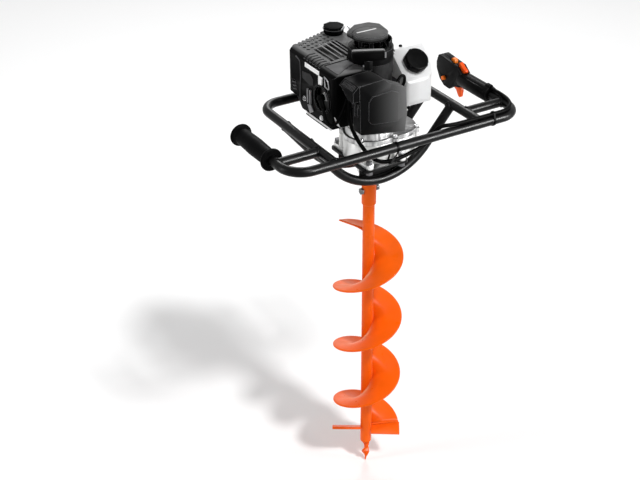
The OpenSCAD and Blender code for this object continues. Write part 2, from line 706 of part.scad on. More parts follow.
module gearbox_bearings() {
    color("lightgray") {
        bearing(boss_z + 9.2, 42, out_shaft_d, 12);
        bearing(case_z - 5, 42, out_shaft_d, 12 - 0.3);
        translate([counter_x, 0, 0]) {
            bearing(case_z + 3.2, 32, 12, 9.6);
            bearing(cavity_top + 1.2, 32, 12, 10);
        }
        bearing(cavity_top + 1, 35, 15, 10.8);
    }
}
module output_seal() color("dimgray") ring(17.5, out_shaft_d / 2 + 0.05, boss_z + 0.5, boss_z + 7.5);

// Centrifugal clutch
drum_r = 37;
drum_z = cover_top + 3;
drum_h = 22;
shoe_z = drum_z + 6;
shoe_h = 12;
shoe_r = 33.4;
module clutch_housing() {
    color("silver") difference() {
        union() {
            ring(bell_r, bell_r - 6, cover_top, engine_z);
            for (a = [45 : 90 : 315]) rotate([0, 0, a]) translate([bell_r - 4, 0, cover_top])
                cylinder(r = 7, h = bell_h);
        }
        translate([0, 0, cover_top - 1]) cylinder(r = bell_r - 6, h = bell_h + 2);
        for (a = [45 : 90 : 315]) rotate([0, 0, a]) translate([bell_r - 1, 0, cover_top - 1])
            cylinder(d = 5.5, h = bell_h + 2);
    }
}
module clutch_drum() {
    color("gray") difference() {
        union() {
            ring(drum_r, drum_r - 2.5, drum_z, drum_z + drum_h);
            translate([0, 0, drum_z]) cylinder(r = drum_r - 2, h = 3);
            translate([0, 0, cover_top + 1.5]) cylinder(d = 20, h = input_top - cover_top - 1.6);
        }
        translate([0, 0, cover_top]) cylinder(d = 10.06, h = 20);
        for (a = [0 : 60 : 300]) rotate([0, 0, a]) translate([22, 0, drum_z - 1]) cylinder(d = 10, h = 5);
    }
}
module clutch_shoe(side) {
    color("dimgray") translate([0, 0, shoe_z]) difference() {
        cylinder(r = shoe_r, h = shoe_h);
        translate([0, 0, -1]) cylinder(r = 15, h = shoe_h + 2);
        translate([side < 0 ? -4 : -shoe_r - 1, -shoe_r - 1, -1])
            cube([shoe_r + 5, 2 * shoe_r + 2, shoe_h + 2]);
    }
}
module clutch_shoe_left() clutch_shoe(-1);
module clutch_shoe_right() clutch_shoe(1);

// Engine
crank_d = 15;
module crankcase() {
    color("black") difference() {
        union() {
            translate([0, 0, engine_z]) cylinder(r = crankcase_r, h = crankcase_h);
            for (a = [45 : 90 : 315]) rotate([0, 0, a]) translate([bell_r - 4, 0, engine_z])
                cylinder(r = 7, h = 12);
            translate([-44, -30, engine_z + 18]) cube([30, 60, 56]);
            translate([30, -32, engine_z + 8]) cube([tank_x0 - gap - 30, 64, 50]);
            translate([0, 0, fan_z]) cylinder(r = starter_r, h = fan_cup_h);
        }
        translate([0, 0, engine_z - 1]) cylinder(d = 35 + 2 * run_gap, h = 13);
        translate([0, 0, engine_z]) cylinder(d = 22, h = crankcase_h);
        translate([0, 0, fan_z - 12]) cylinder(d = 35 + 2 * run_gap, h = 20);
        translate([0, 0, fan_z + 1]) cylinder(r = starter_r - 4, h = fan_cup_h);
        translate([-starter_r - 5, -24, fan_z + 3]) cube([20, 44, fan_cup_h]);
        for (a = [45 : 90 : 315]) rotate([0, 0, a]) translate([bell_r - 1, 0, engine_z - 1])
            cylinder(d = 5.5, h = 15);
    }
}
module crankshaft() {
    color("gray") {
        translate([0, 0, crank_low]) cylinder(d = crank_d - 2 * run_gap, h = fan_z + 3 - crank_low);
        translate([0, 0, fan_z]) cylinder(d = 12, h = 29);
        translate([0, 0, shoe_z]) cylinder(r = 10, h = shoe_h);
        translate([-11.5, -8, shoe_z]) cube([23, 16, shoe_h]);
    }
}
module crank_bearings() {
    color("lightgray") {
        bearing(engine_z + 0.5, 35, crank_d, 11);
        bearing(fan_z - 11.5, 35, crank_d, 11);
    }
}
fan_blades = 14;
module flywheel() {
    color("silver") difference() {
        union() {
            translate([0, 0, fan_z + 4]) cylinder(r = flywheel_r, h = 5);
            translate([0, 0, fan_z + 3.3]) cylinder(r = 11, h = 18);
            for (i = [0 : fan_blades - 1]) rotate([0, 0, i * 360 / fan_blades])
                translate([16, -1, fan_z + 8]) rotate([0, 0, 12]) cube([19, 2.2, 10]);
        }
        translate([0, 0, fan_z]) cylinder(d = 12.06, h = 30);
    }
}
fin_pitch = 6.2;
fin_count = 7;
fin_half = 32;
module cylinder_block() {
    translate([0, 0, cylinder_z]) {
        rod([-44.2, 0, 0], [-98, 0, 0], 50);
        for (i = [0 : fin_count - 1]) slab_x(-54 - i * fin_pitch - 2.2, -54 - i * fin_pitch)
            polygon(rounded(box_pts([-fin_half, -fin_half - 2], [fin_half, fin_half + 2]), 10));
        translate([-67, -38, -14]) cube([34 - 12, 20, 28]);
        translate([-76, 20, -14]) cube([30, 22, 28]);
    }
}
plug_d = 10;
module engine_cylinder() {
    color("gray") difference() {
        cylinder_block();
        rod([-110, 0, cylinder_z], [-84, 0, cylinder_z], plug_d + 2 * run_gap);
        rod([-56, -60, cylinder_z], [-56, -28, cylinder_z], 16);
        rod([-61, 30, cylinder_z], [-61, 60, cylinder_z], 20);
    }
}
module spark_plug() {
    color("white") {
        rod([-84.5, 0, cylinder_z], [-98.2, 0, cylinder_z], plug_d);
        rod([-98.4, 0, cylinder_z], [-101.5, 0, cylinder_z], 17);
        translate([-106, 0, cylinder_z]) rotate([0, 90, 0]) hex(14, 5);
        rod([-105, 0, cylinder_z], [-112, 0, cylinder_z], 8);
    }
}
boot_end = [-116, -13.5, -13.5];
module plug_cap() {
    color("black") translate([0, 0, cylinder_z]) difference() {
        union() {
            rod([-107, 0, 0], [-113.5, 0, 0], 14);
            translate([-113.5, 0, 0]) sphere(d = 13);
            rod([-113, 0, 0], boot_end, 10);
        }
        rod([-106.9, 0, 0], [-112.3, 0, 0], 8.4);
    }
}
lead_d = 6;
lead_hole = [-63, 89];
lead_route = [
    [-51.4, -24, 89], [-58, -26.5, 89.5], [-62.5, -33, 89.2], [-63.3, -41, 88.6], [-69, -46.5, 82],
    [-77, -47, 68], [-86, -47, 46], [-95, -47.5, 26], [-105, -49, 14], [-113.5, -46, 8],
    [-117.5, -37, 8.5], [-118, -27, 17], [-117.2, -19.5, 26.5], [-116.6, -16, 31], [-116.07, -13.8, 33.2]
];
module ignition_lead() {
    color("black") translate([0, 0, engine_z]) sweep(smooth(lead_route, 3), lead_d / 2, 8);
}
coil_turn = 205;
module ignition_coil() {
    color("dimgray") translate([0, 0, fan_z]) rotate([0, 0, coil_turn]) {
        translate([starter_r + gap, -9, 3]) cube([11, 18, 11]);
    }
}

// Shroud over the cylinder and the muffler
shroud_back = 131;
shroud_front = 40;
shroud_top = 105;
shroud_right = 27;
shroud_rake = 20;
shroud_edge = 8;
exhaust_at = [4, 145];
function rear_at(x, inset) = shroud_back + (x + shroud_reach) * tan(shroud_rake) - inset / cos(shroud_rake);
module shroud_side(inset) {
    far = rear_at(shroud_right, 0) + 10;
    polygon(rounded([[-shroud_front + inset, -7 + inset], [80, -7 + inset], [96, 12 + inset],
        [far, 19 + inset], [far, shroud_top - inset],
        [-shroud_front + inset, shroud_top - inset]], [5, 6, 8, 0, 0, 3]));
}
module shroud_end(inset) {
    left = -shroud_reach + inset;
    polygon(rounded([[left, -20], [left, shroud_top - shroud_edge - inset * 0.56],
        [-shroud_reach + 13 + inset * 0.28, shroud_top - inset], [shroud_right, shroud_top - inset],
        [shroud_right, -20]], [0, 4, 3, 0, 0]));
}
module shroud_plan(inset) {
    left = -shroud_reach + inset;
    right = shroud_right - inset;
    polygon(rounded([[left, -shroud_front + inset], [right, -shroud_front + inset],
        [right, rear_at(right, inset)], [left, rear_at(left, inset)]], [8, 0, 6, 9]));
}
module shroud_volume(inset) {
    intersection() {
        slab_x(-shroud_reach - 1, shroud_right + 1) shroud_side(inset);
        slab_y(-shroud_front - 1, rear_at(shroud_right, 0) + 5) shroud_end(inset);
        slab_z(-30, shroud_top + 1) shroud_plan(inset);
    }
}
ring_r = 29;
hole_rows = 4;
slot_spans = [[34, 41, 24, 94], [43.5, 55.5, 27, 97], [58.5, 68.5, 30, 101], [71.5, 81, 32, 106],
    [84, 98, 30, 112]];
module shroud_vents() {
    for (i = [0 : 6]) for (k = [0 : hole_rows - 1])
        translate([23 - shroud_reach + i * 11.2 + k, shroud_back + 8 + i * 3.7 - k * 13.4, shroud_top - 12])
            cylinder(d = 7.6, h = 20, $fn = 24);
    for (p = slot_spans) translate([p[0] - shroud_reach, p[2], shroud_top - 12])
        cube([p[1] - p[0], p[3] - p[2], 20]);
    for (i = [0 : 5]) translate([-shroud_reach + 4, 17 + i * 11, shroud_top - 9]) cube([24, 5.6, 20]);
    for (i = [0 : 2]) translate([-shroud_reach - 1, 103, 24 + i * 7.5]) cube([6, 18, 3.5]);
}
module cylinder_shroud() {
    color("black") translate([0, 0, engine_z]) difference() {
        union() {
            difference() {
                shroud_volume(0);
                shroud_volume(cover_wall);
            }
            rod([-shroud_reach - 4, 0, 44], [-shroud_reach + 1, 0, 44], 2 * ring_r);
        }
        rod([-shroud_reach - 5, 0, 44], [-shroud_reach + 5, 0, 44], 2 * ring_r - 8);
        translate([-36, -60, -20]) cube([shroud_right + 40, 112, 116]);
        translate([-20, -60, 90]) cube([shroud_right + 40, 90, 30]);
        translate([0, 0, -20]) cylinder(r = bell_r + 1, h = 40);
        translate([0, 0, -20]) cylinder(r = starter_r + 3, h = 140);
        for (a = [135, 225]) rotate([0, 0, a]) translate([bell_r - 4, 0, -20]) cylinder(r = 8, h = 34);
        rod([lead_hole[0], -shroud_front - 1, lead_hole[1]],
            [lead_hole[0], -shroud_front + 5, lead_hole[1]], 9);
        shroud_vents();
        translate([exhaust_at[0], exhaust_at[1], shroud_top - 12]) cylinder(d = 30, h = 20);
        translate([-68, -shroud_front - 1, 32]) cube([33, 5, 30]);
    }
}
muffler_x = [16 - shroud_reach, shroud_right - 7];
module muffler() {
    color("dimgray") translate([0, 0, engine_z]) difference() {
        union() {
            intersection() {
                slab_y(60, 180) polygon(rounded(box_pts([muffler_x[0], 28], [muffler_x[1], 90]), 12));
                slab_z(20, 92) polygon(rounded([[muffler_x[0], 60], [muffler_x[1], 60],
                    [muffler_x[1], rear_at(muffler_x[1], 9)], [muffler_x[0], rear_at(muffler_x[0], 9)]],
                    [9, 9, 14, 14]));
            }
            translate([-78, 42.4, 30]) cube([34, 20, 34]);
            translate([exhaust_at[0], exhaust_at[1], 80]) cylinder(d = 24, h = 26);
        }
        translate([exhaust_at[0], exhaust_at[1], 84]) cylinder(d = 19, h = 30);
    }
}
module exhaust_cap() {
    side = 40.3;
    color("black") translate([exhaust_at[0], exhaust_at[1], engine_z + shroud_top]) difference() {
        union() {
            translate([0, 0, 1.4]) cylinder(d = 38, h = 4);
            rotate([0, 0, -31.4]) slab_z(5, 17.5)
                polygon(rounded([for (i = [0 : 7], a = 22.5 + 45 * i)
                    side / 2 / cos(22.5) * [cos(a), sin(a)]], 4));
        }
        translate([0, 0, -1]) cylinder(d = 19, h = 12);
    }
}

// Carburettor, filter and choke
carb = [-50, -63, 47];
primer_at = [-48, -64];
module carburettor() {
    color("silver") translate([0, 0, engine_z]) difference() {
        union() {
            translate([-67, -45, 33]) cube([26, 6.6, 28]);
            translate([-66, -79.5, 30]) cube([34, 34.7, 34]);
            translate([-62, -62 - 5, 63.9]) cube([3.5, 10, 18]);
            translate([carb[0], carb[1], 63.9]) cylinder(r = 9, h = 6);
            translate([-56, -73, 24]) cube([16, 18, 7]);
        }
        rod([-56, -90, 47], [-56, -30, 47], 14);
        translate([primer_at[0], primer_at[1], 23]) cylinder(d = 13.6, h = 6.5);
    }
}
module throttle_cam() {
    color("lightgray") translate([0, 0, engine_z + 70.3]) {
        translate([carb[0], carb[1], 0]) {
            cylinder(r = 8, h = 2);
            cylinder(r = 3, h = 6);
            translate([0, 0, 4]) cylinder(r = 6, h = 2);
        }
        translate([carb[0], carb[1] - 2.5, 0]) cube([17, 5, 2]);
    }
}
module primer_bulb() {
    color("white") translate([primer_at[0], primer_at[1], engine_z + 26]) {
        rotate([180, 0, 0]) cylinder(d = 13, h = 4);
        translate([0, 0, -4 + eps]) rotate([180, 0, 0]) cylinder(d1 = 13, d2 = 10, h = 4);
        translate([0, 0, -8]) sphere(d = 10);
    }
}
base_y = -84;
module filter_outline(grow) {
    polygon(rounded([[-94 - grow, 107 + grow], [-42, 110 + grow], [-24, 98 + grow], [9 + grow, 83 + grow],
        [13 + grow, 29], [9 + grow, -8 - grow], [-45, -grow], [-91 - grow, 8 - grow]],
            [4, 6, 6, 5, 8, 4, 6, 4]));
}
module air_filter_base() {
    color("black") translate([0, 0, engine_z]) difference() {
        union() {
            slab_y(base_y, base_y + 4) filter_outline(-cover_wall - gap);
            slab_y(-100, base_y + eps) polygon(rounded(box_pts([-78, 20], [-6, 76]), 6));
        }
        slab_y(base_y - 1, base_y + 5) difference() {
            hood_outline(-gap);
            hood_outline(cover_wall + gap);
        }
        slab_y(base_y - 1, base_y + 5) polygon(box_pts([-27.4, hood_low - 1], [-23, hood_low + 14]));
        rod([-56, -90, 47], [-56, -70, 47], 14);
        slab_y(-101, -87) polygon(rounded(box_pts([-74, 24], [-10, 72]), 4));
    }
}
hood_low = 84;
hood_back = -60;
hood_left = -107;
louvre_lean = 42;
module hood_outline(inset) {
    polygon(rounded([[hood_left + inset, 96 - inset / 2], [hood_left + 12 + inset / 2, 107 - inset],
        [-42, 110 - inset], [-24 - inset, 98 - inset], [-24 - inset, hood_low - inset],
        [hood_left + inset, hood_low - inset]], [2, 2, 4, 4, 2, 1]));
}
module hood_side() {
    polygon([[-filter_reach + 1, 77], [-90, 77], [-66, 95], [-66, 100], [-filter_reach + 1, 100]]);
}
module air_filter_cover() {
    face = -filter_reach;
    color("dimgray") translate([0, 0, engine_z]) {
        difference() {
            union() {
                slab_y(face, base_y - gap) filter_outline(0);
                slab_y(face + 1, hood_back) hood_outline(0);
                intersection() {
                    slab_x(hood_left, -92) hood_side();
                    slab_y(face, hood_back) polygon(box_pts([hood_left, 70], [-92, 90]));
                }
            }
            slab_y(face + cover_wall, base_y) filter_outline(-cover_wall);
            slab_y(base_y - 2, hood_back + 1) hood_outline(cover_wall);
            slab_y(base_y - 2, hood_back + 1) polygon(box_pts([-88, 70], [-27, 92]));
            slab_x(hood_left - 1, -94.5)
                polygon([[-90, 76.9], [-66, 94.9], [hood_back + 1, 94.9], [hood_back + 1, 76.9]]);
            for (i = [-1 : 1]) slab_y(face + 7, hood_back - 5) translate([hood_left + 6, 101.5])
                rotate(louvre_lean) translate([i * 4, 0]) square([2, 3.2], center = true);
        }
        slab_y(face - 2, face + 0.5)
            polygon(rounded([[-74, 34], [-74, 71], [-66, 81], [-24, 84], [-8, 77], [-7, 18],
            [-60, 24], [-68, 26]], 2));
    }
}
latch_x = -93;
latch_y = -95;
module filter_latch() {
    color("black") translate([latch_x, latch_y, engine_z + 57]) {
        translate([-2.6, -12, -13]) cube([2.4, 13, 26]);
        translate([-4.6, -13.5, -8]) cube([4.4, 3, 16]);
        translate([-2.4, 0, -14]) cylinder(d = 4, h = 28);
    }
}
choke_pivot = [-68, -72, 58];
module choke_lever() {
    color("black") translate([0, 0, engine_z]) {
        rod([-66.4, choke_pivot[1], choke_pivot[2]], [-71, choke_pivot[1], choke_pivot[2]], 9);
        slab_x(-71, -68) polygon(rounded([[choke_pivot[1] - 4, 56], [choke_pivot[1] + 4, 56],
            [choke_pivot[1] + 3, 38],
            [choke_pivot[1] - 3, 38]], 2));
    }
}

// Fuel tank
tank_low = 5;
slope_drop = 48;
slope_back = 2;
cap_slope = atan2(slope_drop, tank_front + slope_back);
cap_seat = [(tank_x0 + tank_x1) / 2 - 2, (slope_back - tank_front) / 2 - 1,
    tank_low + tank_h - slope_drop / 2 + 1];
neck_r = 17;
line_port = [tank_x0, -39, 45];
module tank_side(inset) {
    polygon(rounded([[-tank_front + inset, tank_low + inset], [tank_back - inset, tank_low + inset],
        [tank_back - inset, tank_low + tank_h - inset], [slope_back, tank_low + tank_h - inset],
        [-tank_front + inset, tank_low + tank_h - slope_drop]],
        [16, 16, 16, 10, 10]));
}
module tank_volume(inset) {
    intersection() {
        slab_x(tank_x0 + inset, tank_x1 - inset) tank_side(inset);
        slab_z(tank_low, tank_low + tank_h) polygon(rounded(box_pts([tank_x0 + inset, -tank_front + inset],
            [tank_x1 - inset, tank_back - inset]), [9, 32, 24, 10], 6));
    }
}
module at_cap() translate(cap_seat) rotate([cap_slope, 0, 0]) children();
module fuel_tank() {
    color("whitesmoke") translate([0, 0, engine_z]) difference() {
        union() {
            tank_volume(0);
            at_cap() translate([0, 0, -6]) cylinder(r = neck_r, h = 14);
        }
        tank_volume(3);
        at_cap() translate([0, 0, -10]) cylinder(r = neck_r - 3, h = 30);
        rod(line_port - [12, 0, 0], line_port + [12, 0, 0], 8.4);
    }
}
cap_h = 18;
cap_lobes = 7;
module fuel_cap() {
    color("black") translate([0, 0, engine_z]) at_cap() difference() {
        union() {
            rotate_extrude() polygon([[0, 2], [cap_d / 2 - 1, 2], [cap_d / 2 - 1, cap_h - 1.5],
                [cap_d / 2 - 2.5, cap_h], [0, cap_h]]);
            for (i = [0 : cap_lobes - 1]) rotate([0, 0, i * 360 / cap_lobes])
                translate([cap_d / 2 - 7, 0, 2]) cylinder(r = 7, h = cap_h - 5);
        }
        translate([0, 0, 1]) cylinder(r = neck_r + 0.4, h = 9);
    }
}
line_route = [
    line_port + [5, 0, 0], line_port - [2, 0, 0], [42, -42.5, 47], [41.5, -49, 54], [43, -54, 65],
    [41, -57, 77], [34, -58.5, 82], [27, -59, 77], [19, -60, 67], [6, -61, 57],
    [-8, -62, 50], [-22, -62, 44.5], [-31.5, -62, 44]
];
module fuel_line() color("dimgray") translate([0, 0, engine_z]) sweep(smooth(line_route, 3), 3, 8);

// Recoil starter
rope_at = [-36, -48.5];
starter_post = 14;
pull_z = starter_z + 31;
guide_h = pull_z - 10 - starter_z - 2 - seat_gap;
vent_count = 8;
lid_at = [2, 10];
lid_pts = [[-32, 0], [-17, -22], [8, -26], [26, -20], [38, -2], [43, 36], [28, 54], [-4, 56], [-34, 34]];
module starter_housing() {
    deck = starter_top - 10;
    color("black") {
        difference() {
            union() {
                ring(starter_r, starter_r - 3.5, starter_z, deck - starter_post);
                translate([0, 0, deck - starter_post - 3]) cylinder(r = starter_r - 1, h = 3);
            }
            translate([0, 0, deck - starter_post - 4]) cylinder(r = 30, h = 5);
        }
        translate(lid_at) for (i = [0 : vent_count - 1]) rotate([0, 0, 22.5 + i * 360 / vent_count])
            translate([21, -4, deck - starter_post - eps]) cube([8, 8, starter_post + 2 * eps]);
        slab_z(deck, starter_top - 2) polygon(rounded(lid_pts, 7));
        slab_z(starter_top - 2 - eps, starter_top)
            polygon(rounded([for (p = lid_pts) lid_at + (p - lid_at) * 0.96], 7));
        translate([0, 0, starter_z + 9]) cylinder(d = 10, h = deck - starter_z - 9 + eps);
        difference() {
            union() {
                translate([rope_at[0], rope_at[1], starter_z + 2]) cylinder(r = 8, h = guide_h);
                rotate([0, 0, atan2(rope_at[1], rope_at[0])]) translate([starter_r - 2, -5, starter_z + 2])
                    cube([norm(rope_at) - starter_r, 10, guide_h]);
            }
            translate([rope_at[0], rope_at[1], starter_z - 1]) cylinder(d = 6, h = 40);
            translate([0, 0, starter_z]) cylinder(r = starter_r - 1.5, h = 30);
        }
    }
}
pulley_z = starter_z + 10;
module starter_pulley() {
    color("gray") difference() {
        union() {
            translate([0, 0, pulley_z]) cylinder(r = 20, h = 2);
            translate([0, 0, pulley_z + 2 - eps]) cylinder(r = 16, h = 6 + 2 * eps);
            translate([0, 0, pulley_z + 8]) cylinder(r = 20, h = 2);
        }
        translate([0, 0, pulley_z - 1]) cylinder(d = 10 + 2 * run_gap, h = 12);
    }
}
module pull_handle() {
    color("black") translate([rope_at[0], rope_at[1], 0]) {
        rotate([0, 0, -26]) {
            slab_y(-8.5, 8.5) polygon(rounded([[-pull_len / 2, pull_z - 8], [-12, pull_z - 10],
                [12, pull_z - 10],
                [pull_len / 2, pull_z - 8], [pull_len / 2, pull_z + 9], [-pull_len / 2, pull_z + 9]],
                [5, 8, 8, 5, 5, 5]));
        }
        translate([0, 0, starter_z - 12]) cylinder(d = 4.5, h = pull_z - starter_z + 6);
    }
}

bit_shaft();
bit_flight();
cutting_blades();
bit_point();
retaining_bolt();
front_handlebar();
rear_loop();
front_cradle_tube();
rear_cradle_tube();
side_braces();
mount_plate();
frame_bolts();
left_grip();
throttle_shell_inner();
throttle_shell_outer();
throttle_trigger();
trigger_lockout();
stop_switch();
throttle_hold_button();
throttle_cable();
cable_ties();
gearbox_case();
gearbox_cover();
gearbox_screws();
output_shaft();
output_gear();
counter_shaft();
counter_gear();
input_pinion();
gearbox_bearings();
output_seal();
clutch_housing();
clutch_drum();
clutch_shoe_left();
clutch_shoe_right();
crankcase();
crankshaft();
crank_bearings();
flywheel();
engine_cylinder();
cylinder_shroud();
muffler();
exhaust_cap();
spark_plug();
plug_cap();
ignition_lead();
ignition_coil();
carburettor();
throttle_cam();
choke_lever();
primer_bulb();
air_filter_base();
air_filter_cover();
filter_latch();
fuel_tank();
fuel_cap();
fuel_line();
starter_housing();
starter_pulley();
pull_handle();
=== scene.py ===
# %% [markdown]
# # An earth auger, from its CAD frame to a studio picture
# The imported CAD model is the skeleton: sixty nodes that already have the right size and place.
# It is loaded first, and nothing in it is moved. Every later cell either gives a node its finish
# or puts a finer piece in its place.

# %% Load the frame
import json
import math
import bmesh
import bpy
from mathutils.bvhtree import BVHTree
from mathutils import Matrix, Vector


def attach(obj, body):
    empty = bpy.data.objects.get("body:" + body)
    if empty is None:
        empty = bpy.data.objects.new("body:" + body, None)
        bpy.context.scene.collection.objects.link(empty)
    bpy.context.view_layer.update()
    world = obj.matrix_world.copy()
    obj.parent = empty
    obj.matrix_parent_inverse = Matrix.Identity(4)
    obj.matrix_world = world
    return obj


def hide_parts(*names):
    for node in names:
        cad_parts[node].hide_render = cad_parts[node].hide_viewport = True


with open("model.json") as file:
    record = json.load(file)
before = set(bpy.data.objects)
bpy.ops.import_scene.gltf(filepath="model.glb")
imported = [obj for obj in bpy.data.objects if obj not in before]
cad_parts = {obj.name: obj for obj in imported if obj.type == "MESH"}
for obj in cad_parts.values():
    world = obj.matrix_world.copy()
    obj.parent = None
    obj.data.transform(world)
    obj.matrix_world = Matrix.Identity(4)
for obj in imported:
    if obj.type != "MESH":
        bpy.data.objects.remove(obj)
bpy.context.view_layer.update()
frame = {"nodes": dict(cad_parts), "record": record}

nodes = frame["nodes"]
body_of = {node: body for body, members in frame["record"]["behaviour"]["bodies"].items() for node in members}
scene = bpy.context.scene

# %% [markdown]
# ## Heights
# The CAD is drawn in millimetres and Blender works in metres. All sizes below stay in millimetres, like
# those on a drawing, and each piece is scaled once when it is made. The engine has its own zero height.

# %% Heights and sizes shared by many pieces
HANDLE_Z, ENGINE_Z, STARTER_TOP = 890.0, 905.0, 1060.0
TUBE_R, LOOP_X, GRIP_X, FRONT_Y, BRACE_Y, CRADLE_Y = 9.5, 167.0, 260.0, -147.5, -88.0, 44.0
MM = 0.001
print("handle plane at", HANDLE_Z, "mm, engine from", ENGINE_Z, "to", STARTER_TOP, "mm")

# %% [markdown]
# ## Camera
# The photograph looks down at about 31 degrees from the front left, with a lens of about 70 mm on
# a 36 mm sensor. The small sideways shift puts the bit where the picture has it.

# %% Place the camera
PHOTO_W, FOCAL_PX, CENTRE_PX = 640, 1244.667, 341.176
SENSOR_W = 36
CAMERA_AT = (-1.2123, -1.8798, 1.9454)
turn, tilt = math.radians(-31.363), math.radians(31.03)
back = Vector((math.sin(turn) * math.cos(tilt), -math.cos(turn) * math.cos(tilt), math.sin(tilt)))
right = Vector((math.cos(turn), math.sin(turn), 0))
camera = bpy.data.objects.new("camera", bpy.data.cameras.new("camera"))
scene.collection.objects.link(camera)
camera.data.sensor_width = SENSOR_W
camera.data.lens = FOCAL_PX / PHOTO_W * SENSOR_W
camera.data.shift_x = -(CENTRE_PX - PHOTO_W / 2) / PHOTO_W
axes = Matrix((right, back.cross(right), back)).transposed().to_4x4()
camera.matrix_world = Matrix.Translation(CAMERA_AT) @ axes
camera.data.clip_end = 50
scene.camera = camera
print("lens", round(camera.data.lens, 2), "mm, shift", round(camera.data.shift_x, 4))

# %% [markdown]
# ## Routes of the cords
# Three flexible lines run on the machine, and it holds each of them at both ends: the throttle
# cable, the ignition lead and the fuel line. The points are those of the CAD routes, joined by
# the same smooth spline, so the cord lies exactly where its CAD solid is.


# %% A smooth route through listed points
def spline(a, b, c, d, t):
    return 0.5 * (2 * b + (c - a) * t + (2 * a - 5 * b + 4 * c - d) * t * t + (3 * b - a - 3 * c + d) * t ** 3)


def smooth_route(points, steps=5):
    p = [Vector(q) for q in points]
    last = len(p) - 1
    made = [spline(p[max(i - 1, 0)], p[i], p[i + 1], p[min(i + 2, last)], k / steps)
            for i in range(last) for k in range(steps)]
    return [q * MM for q in made + [p[last]]]


def length_of(path):
    return sum((b - a).length for a, b in zip(path, path[1:]))


def at_engine(points):
    return [(x, y, z + ENGINE_Z) for x, y, z in points]


CABLE_TOP = HANDLE_Z + TUBE_R + 4.5
cable_points = [
    (260, -42.2, HANDLE_Z + 15), (260, -55, CABLE_TOP + 0.5), (261, -80, CABLE_TOP), (257, -107, CABLE_TOP),
    (245, -131, CABLE_TOP), (222, -146, CABLE_TOP), (190, -148, CABLE_TOP), (150, -148, CABLE_TOP),
    (108, -147.5, CABLE_TOP), (90, -145, CABLE_TOP), (77, -139, CABLE_TOP - 2), (67, -133, CABLE_TOP - 9),
    (57, -131, HANDLE_Z - 9), (40, -129, HANDLE_Z - 24), (16, -128, HANDLE_Z - 31), (-10, -128, HANDLE_Z - 36),
    (-36, -127, HANDLE_Z - 38), (-56, -118, HANDLE_Z - 36), (-66, -98, HANDLE_Z - 28), (-70, -74, HANDLE_Z - 14),
    (-74, -56, HANDLE_Z + 6), (-80, -52, HANDLE_Z + 32), (-82, -54, HANDLE_Z + 62), (-80, -60, HANDLE_Z + 82),
    (-72, -62, HANDLE_Z + 92.5), (-62.9, -62, HANDLE_Z + 92.5)]
lead_points = at_engine([
    (-51.4, -24, 89), (-58, -26.5, 89.5), (-62.5, -33, 89.2), (-63.3, -41, 88.6), (-69, -46.5, 82),
    (-77, -47, 68), (-86, -47, 46), (-95, -47.5, 26), (-105, -49, 14), (-113.5, -46, 8), (-117.5, -37, 8.5),
    (-118, -27, 17), (-117.2, -19.5, 26.5), (-116.6, -16, 31), (-116.07, -13.8, 33.2)])
line_points = at_engine([
    (53, -39, 45), (46, -39, 45), (42, -42.5, 47), (41.5, -49, 54), (43, -54, 65), (41, -57, 77), (34, -58.5, 82),
    (27, -59, 77), (19, -60, 67), (6, -61, 57), (-8, -62, 50), (-22, -62, 44.5), (-31.5, -62, 44)])
print(len(cable_points) + len(lead_points) + len(line_points), "points on three routes")

# %% [markdown]
# ## Studio
# A pale floor and a white world carry the soft light. The world is plain white only for rays that the
# camera, a mirror or glass sends out; the light it gives is weaker. The floor adds a little of its own
# white for the camera only, so that it reads as paper white and still keeps the shadow.


# %% World and floor
WORLD_SEEN, WORLD_LIGHT = 1.0, 0.4


def join(tree, source, target):
    tree.links.new(source, target)


world = bpy.data.worlds.new("studio")
scene.world = world
scene.view_settings.view_transform = "Standard"
world.use_nodes = True
sky = world.node_tree
sky.nodes.clear()
rays = sky.nodes.new("ShaderNodeLightPath")
white = sky.nodes.new("ShaderNodeBackground")
white.inputs["Strength"].default_value = WORLD_SEEN
soft = sky.nodes.new("ShaderNodeBackground")
soft.inputs["Strength"].default_value = WORLD_LIGHT
chooser = sky.nodes.new("ShaderNodeMixShader")
seen = sky.nodes.new("ShaderNodeMath")
seen.operation = "MAXIMUM"
seen_or_mirrored = sky.nodes.new("ShaderNodeMath")
seen_or_mirrored.operation = "MAXIMUM"
join(sky, rays.outputs["Is Camera Ray"], seen.inputs[0])
join(sky, rays.outputs["Is Glossy Ray"], seen.inputs[1])
join(sky, seen.outputs[0], seen_or_mirrored.inputs[0])
join(sky, rays.outputs["Is Transmission Ray"], seen_or_mirrored.inputs[1])
join(sky, seen_or_mirrored.outputs[0], chooser.inputs[0])
join(sky, soft.outputs[0], chooser.inputs[1])
join(sky, white.outputs[0], chooser.inputs[2])
join(sky, chooser.outputs[0], sky.nodes.new("ShaderNodeOutputWorld").inputs[0])

FLOOR_SIZE, FLOOR_WHITE, FLOOR_GLOW = 15, 0.9, 0.03
floor_shape = bmesh.new()
bmesh.ops.create_grid(floor_shape, x_segments=1, y_segments=1, size=FLOOR_SIZE)
floor_data = bpy.data.meshes.new("floor")
floor_shape.to_mesh(floor_data)
floor_shape.free()
floor = bpy.data.objects.new("floor", floor_data)
scene.collection.objects.link(floor)
paper = bpy.data.materials.new("paper_floor")
paper.use_nodes = True
sheet = paper.node_tree
sheet.nodes.clear()
matte = sheet.nodes.new("ShaderNodeBsdfDiffuse")
matte.inputs["Color"].default_value = (FLOOR_WHITE, FLOOR_WHITE, FLOOR_WHITE, 1)
glow = sheet.nodes.new("ShaderNodeEmission")
glow_rays = sheet.nodes.new("ShaderNodeLightPath")
glow_level = sheet.nodes.new("ShaderNodeMath")
glow_level.operation = "MULTIPLY"
glow_level.inputs[1].default_value = FLOOR_GLOW
both = sheet.nodes.new("ShaderNodeAddShader")
join(sheet, glow_rays.outputs["Is Camera Ray"], glow_level.inputs[0])
